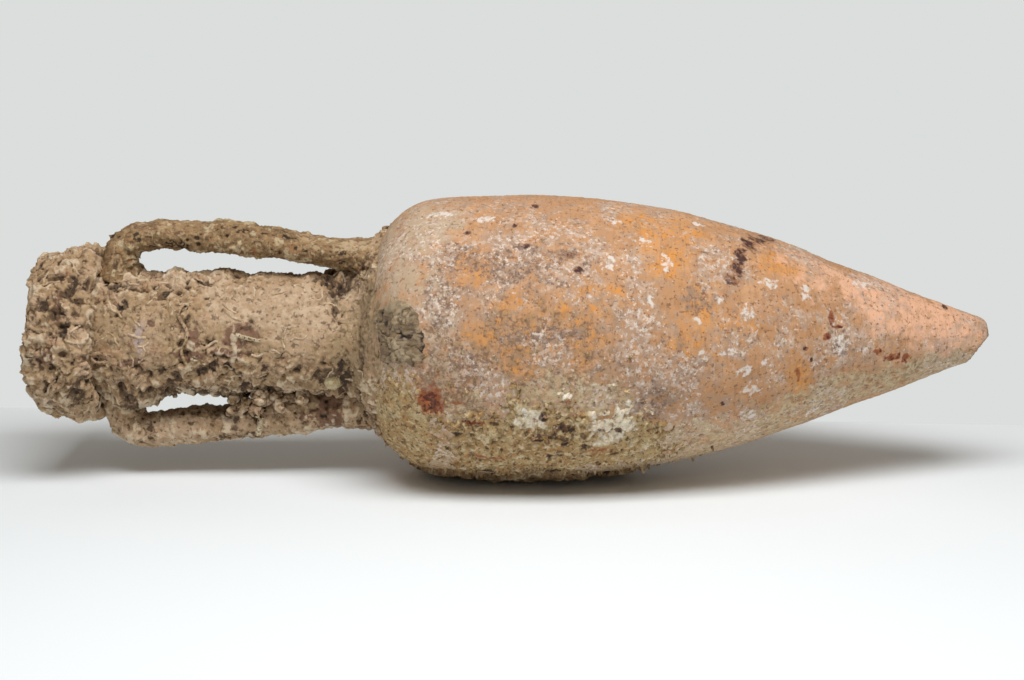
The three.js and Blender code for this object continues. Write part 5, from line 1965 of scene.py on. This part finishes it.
@dataclass(frozen=True)
class Studio:
    """The shelf, the wall's tone behind it, the soft light and the camera."""

    camera_distance: float = 1.981
    camera_elevation: float = 12.0  # degrees
    camera_roll: float = 0.285  # degrees
    half_view: float = 15.0  # degrees
    target: Point = (0.0023, 0.0, 0.1439)
    shelf_back: float = 0.244  # metres behind the jar's axis
    shelf_slant: float = -2.7  # degrees
    lamp_place: Point = (0.08, -0.85, 1.6)
    lamp_power: float = 31.0
    back_place: Point = (0.1, 2.1, 0.9)
    back_power: float = 4.5
    lamp_size: tuple[float, float] = (1.5, 0.7)
    lamp_aim: Point = (0.0, 0.0, 0.1)
    sky_colour: str = "f4e9da"
    sky_strength: float = 0.25
    shelf_colour: str = "f1f7fb"
    wall_colour: str = "dbdedc"
    ground_size: float = 40.0

    def build(self) -> None:
        """Sets up the whole studio."""
        self.ground()
        self.lights()
        self.camera()
        bpy.context.scene.view_settings.view_transform = "Standard"

    def ground(self) -> None:
        """Lays the white shelf, and the pale ground that stands for the wall behind it."""
        half = self.ground_size / 2
        strips = (
            ("shelf", -half, 0.0, self.shelf_colour),
            ("backdrop", 0.0, self.ground_size, self.wall_colour),
        )
        for name, front, back, colour in strips:
            bm = bmesh.new()
            bmesh.ops.create_grid(bm, x_segments=1, y_segments=1, size=0.5)
            bmesh.ops.scale(bm, vec=(self.ground_size, back - front, 1), verts=bm.verts[:])
            bmesh.ops.translate(bm, vec=(0, (front + back) / 2, 0), verts=bm.verts[:])
            slant = Matrix.Rotation(math.radians(self.shelf_slant), 3, "Z")
            bmesh.ops.rotate(bm, verts=bm.verts[:], cent=(0, 0, 0), matrix=slant)
            bmesh.ops.translate(bm, vec=(0, self.shelf_back, 0), verts=bm.verts[:])
            mesh = bpy.data.meshes.new(name)
            bm.to_mesh(mesh)
            bm.free()
            paint = self.matt_paint(f"{name} painted matt", colour, even=name == "backdrop")
            mesh.materials.append(paint)
            sheet = bpy.data.objects.new(name, mesh)
            bpy.context.scene.collection.objects.link(sheet)

    def matt_paint(self, name: str, colour: str, even: bool) -> bpy.types.Material:
        """Makes a matt paint.

        Args:
            name: The material's name.
            colour: Its sRGB colour.
            even: Whether the camera sees it evenly lit.

        Returns:
            The material.
        """
        material = bpy.data.materials.new(name)
        material.use_nodes = True
        tree = material.node_tree
        shader = tree.nodes["Principled BSDF"]
        shader.inputs["Base Color"].default_value = linear(colour)
        shader.inputs["Roughness"].default_value = 0.9
        if even:
            rays = add_node(tree, "ShaderNodeLightPath", {}).outputs
            seen = rays["Is Camera Ray"]
            for ray in ("Is Glossy Ray", "Is Transmission Ray"):
                seen = reckon(tree, "MAXIMUM", seen, rays[ray])
            glow = add_node(tree, "ShaderNodeEmission", {"Color": linear(colour)})
            links = {0: seen, 1: shader.outputs[0], 2: glow.outputs[0]}
            mixed = add_node(tree, "ShaderNodeMixShader", links)
            tree.links.new(mixed.outputs[0], tree.nodes["Material Output"].inputs["Surface"])
        return material

    def lights(self) -> None:
        """Hangs a large soft lamp over the jar, and lights the rest evenly."""
        world = bpy.data.worlds.new("even studio light")
        world.use_nodes = True
        sky = world.node_tree.nodes["Background"]
        sky.inputs["Color"].default_value = linear(self.sky_colour)
        sky.inputs["Strength"].default_value = self.sky_strength
        bpy.context.scene.world = world
        self.soft_box("soft_box", self.lamp_place, self.lamp_power)
        self.soft_box("back_soft_box", self.back_place, self.back_power)

    def soft_box(self, name: str, place: Point, power: float) -> None:
        """Hangs one large soft lamp that faces the jar.

        Args:
            name: The lamp's name.
            place: Where it hangs, in metres.
            power: Its power in watts.
        """
        lamp = bpy.data.lights.new(name, "AREA")
        lamp.shape = "RECTANGLE"
        lamp.size, lamp.size_y = self.lamp_size
        lamp.energy = power
        soft_box = bpy.data.objects.new(name, lamp)
        soft_box.location = place
        soft_box.visible_camera = False
        aim = Vector(self.lamp_aim) - soft_box.location
        soft_box.rotation_euler = aim.to_track_quat("-Z", "Y").to_euler()
        bpy.context.scene.collection.objects.link(soft_box)

    def camera(self) -> None:
        """Sets the camera a little above the jar, as the photographer stood."""
        rise, roll = math.radians(self.camera_elevation), math.radians(self.camera_roll)
        back = Vector((0, -math.cos(rise), math.sin(rise)))
        right, up = Vector((1, 0, 0)), Vector((0, math.sin(rise), math.cos(rise)))
        leaned = right * math.cos(roll) + up * math.sin(roll)
        upward = up * math.cos(roll) - right * math.sin(roll)
        lens = bpy.data.cameras.new("camera")
        lens.lens = lens.sensor_width / 2 / math.tan(math.radians(self.half_view))
        camera = bpy.data.objects.new("camera", lens)
        place = Vector(self.target) + back * self.camera_distance
        turn = Matrix((leaned, upward, back)).transposed().to_4x4()
        camera.matrix_world = Matrix.Translation(place) @ turn
        bpy.context.scene.collection.objects.link(camera)
        bpy.context.scene.camera = camera


def main() -> None:
    """Builds the jar's pieces in order, then the studio."""
    logging.basicConfig(level=logging.INFO, format="%(name)s: %(message)s")
    for group in (ThrownJar(), Handles(), NeckCrusts(), BodyCrusts(), Shells(), Studio()):
        log.info("building %s", type(group).__name__)
        group.build()


if __name__ == "__main__":
    main()
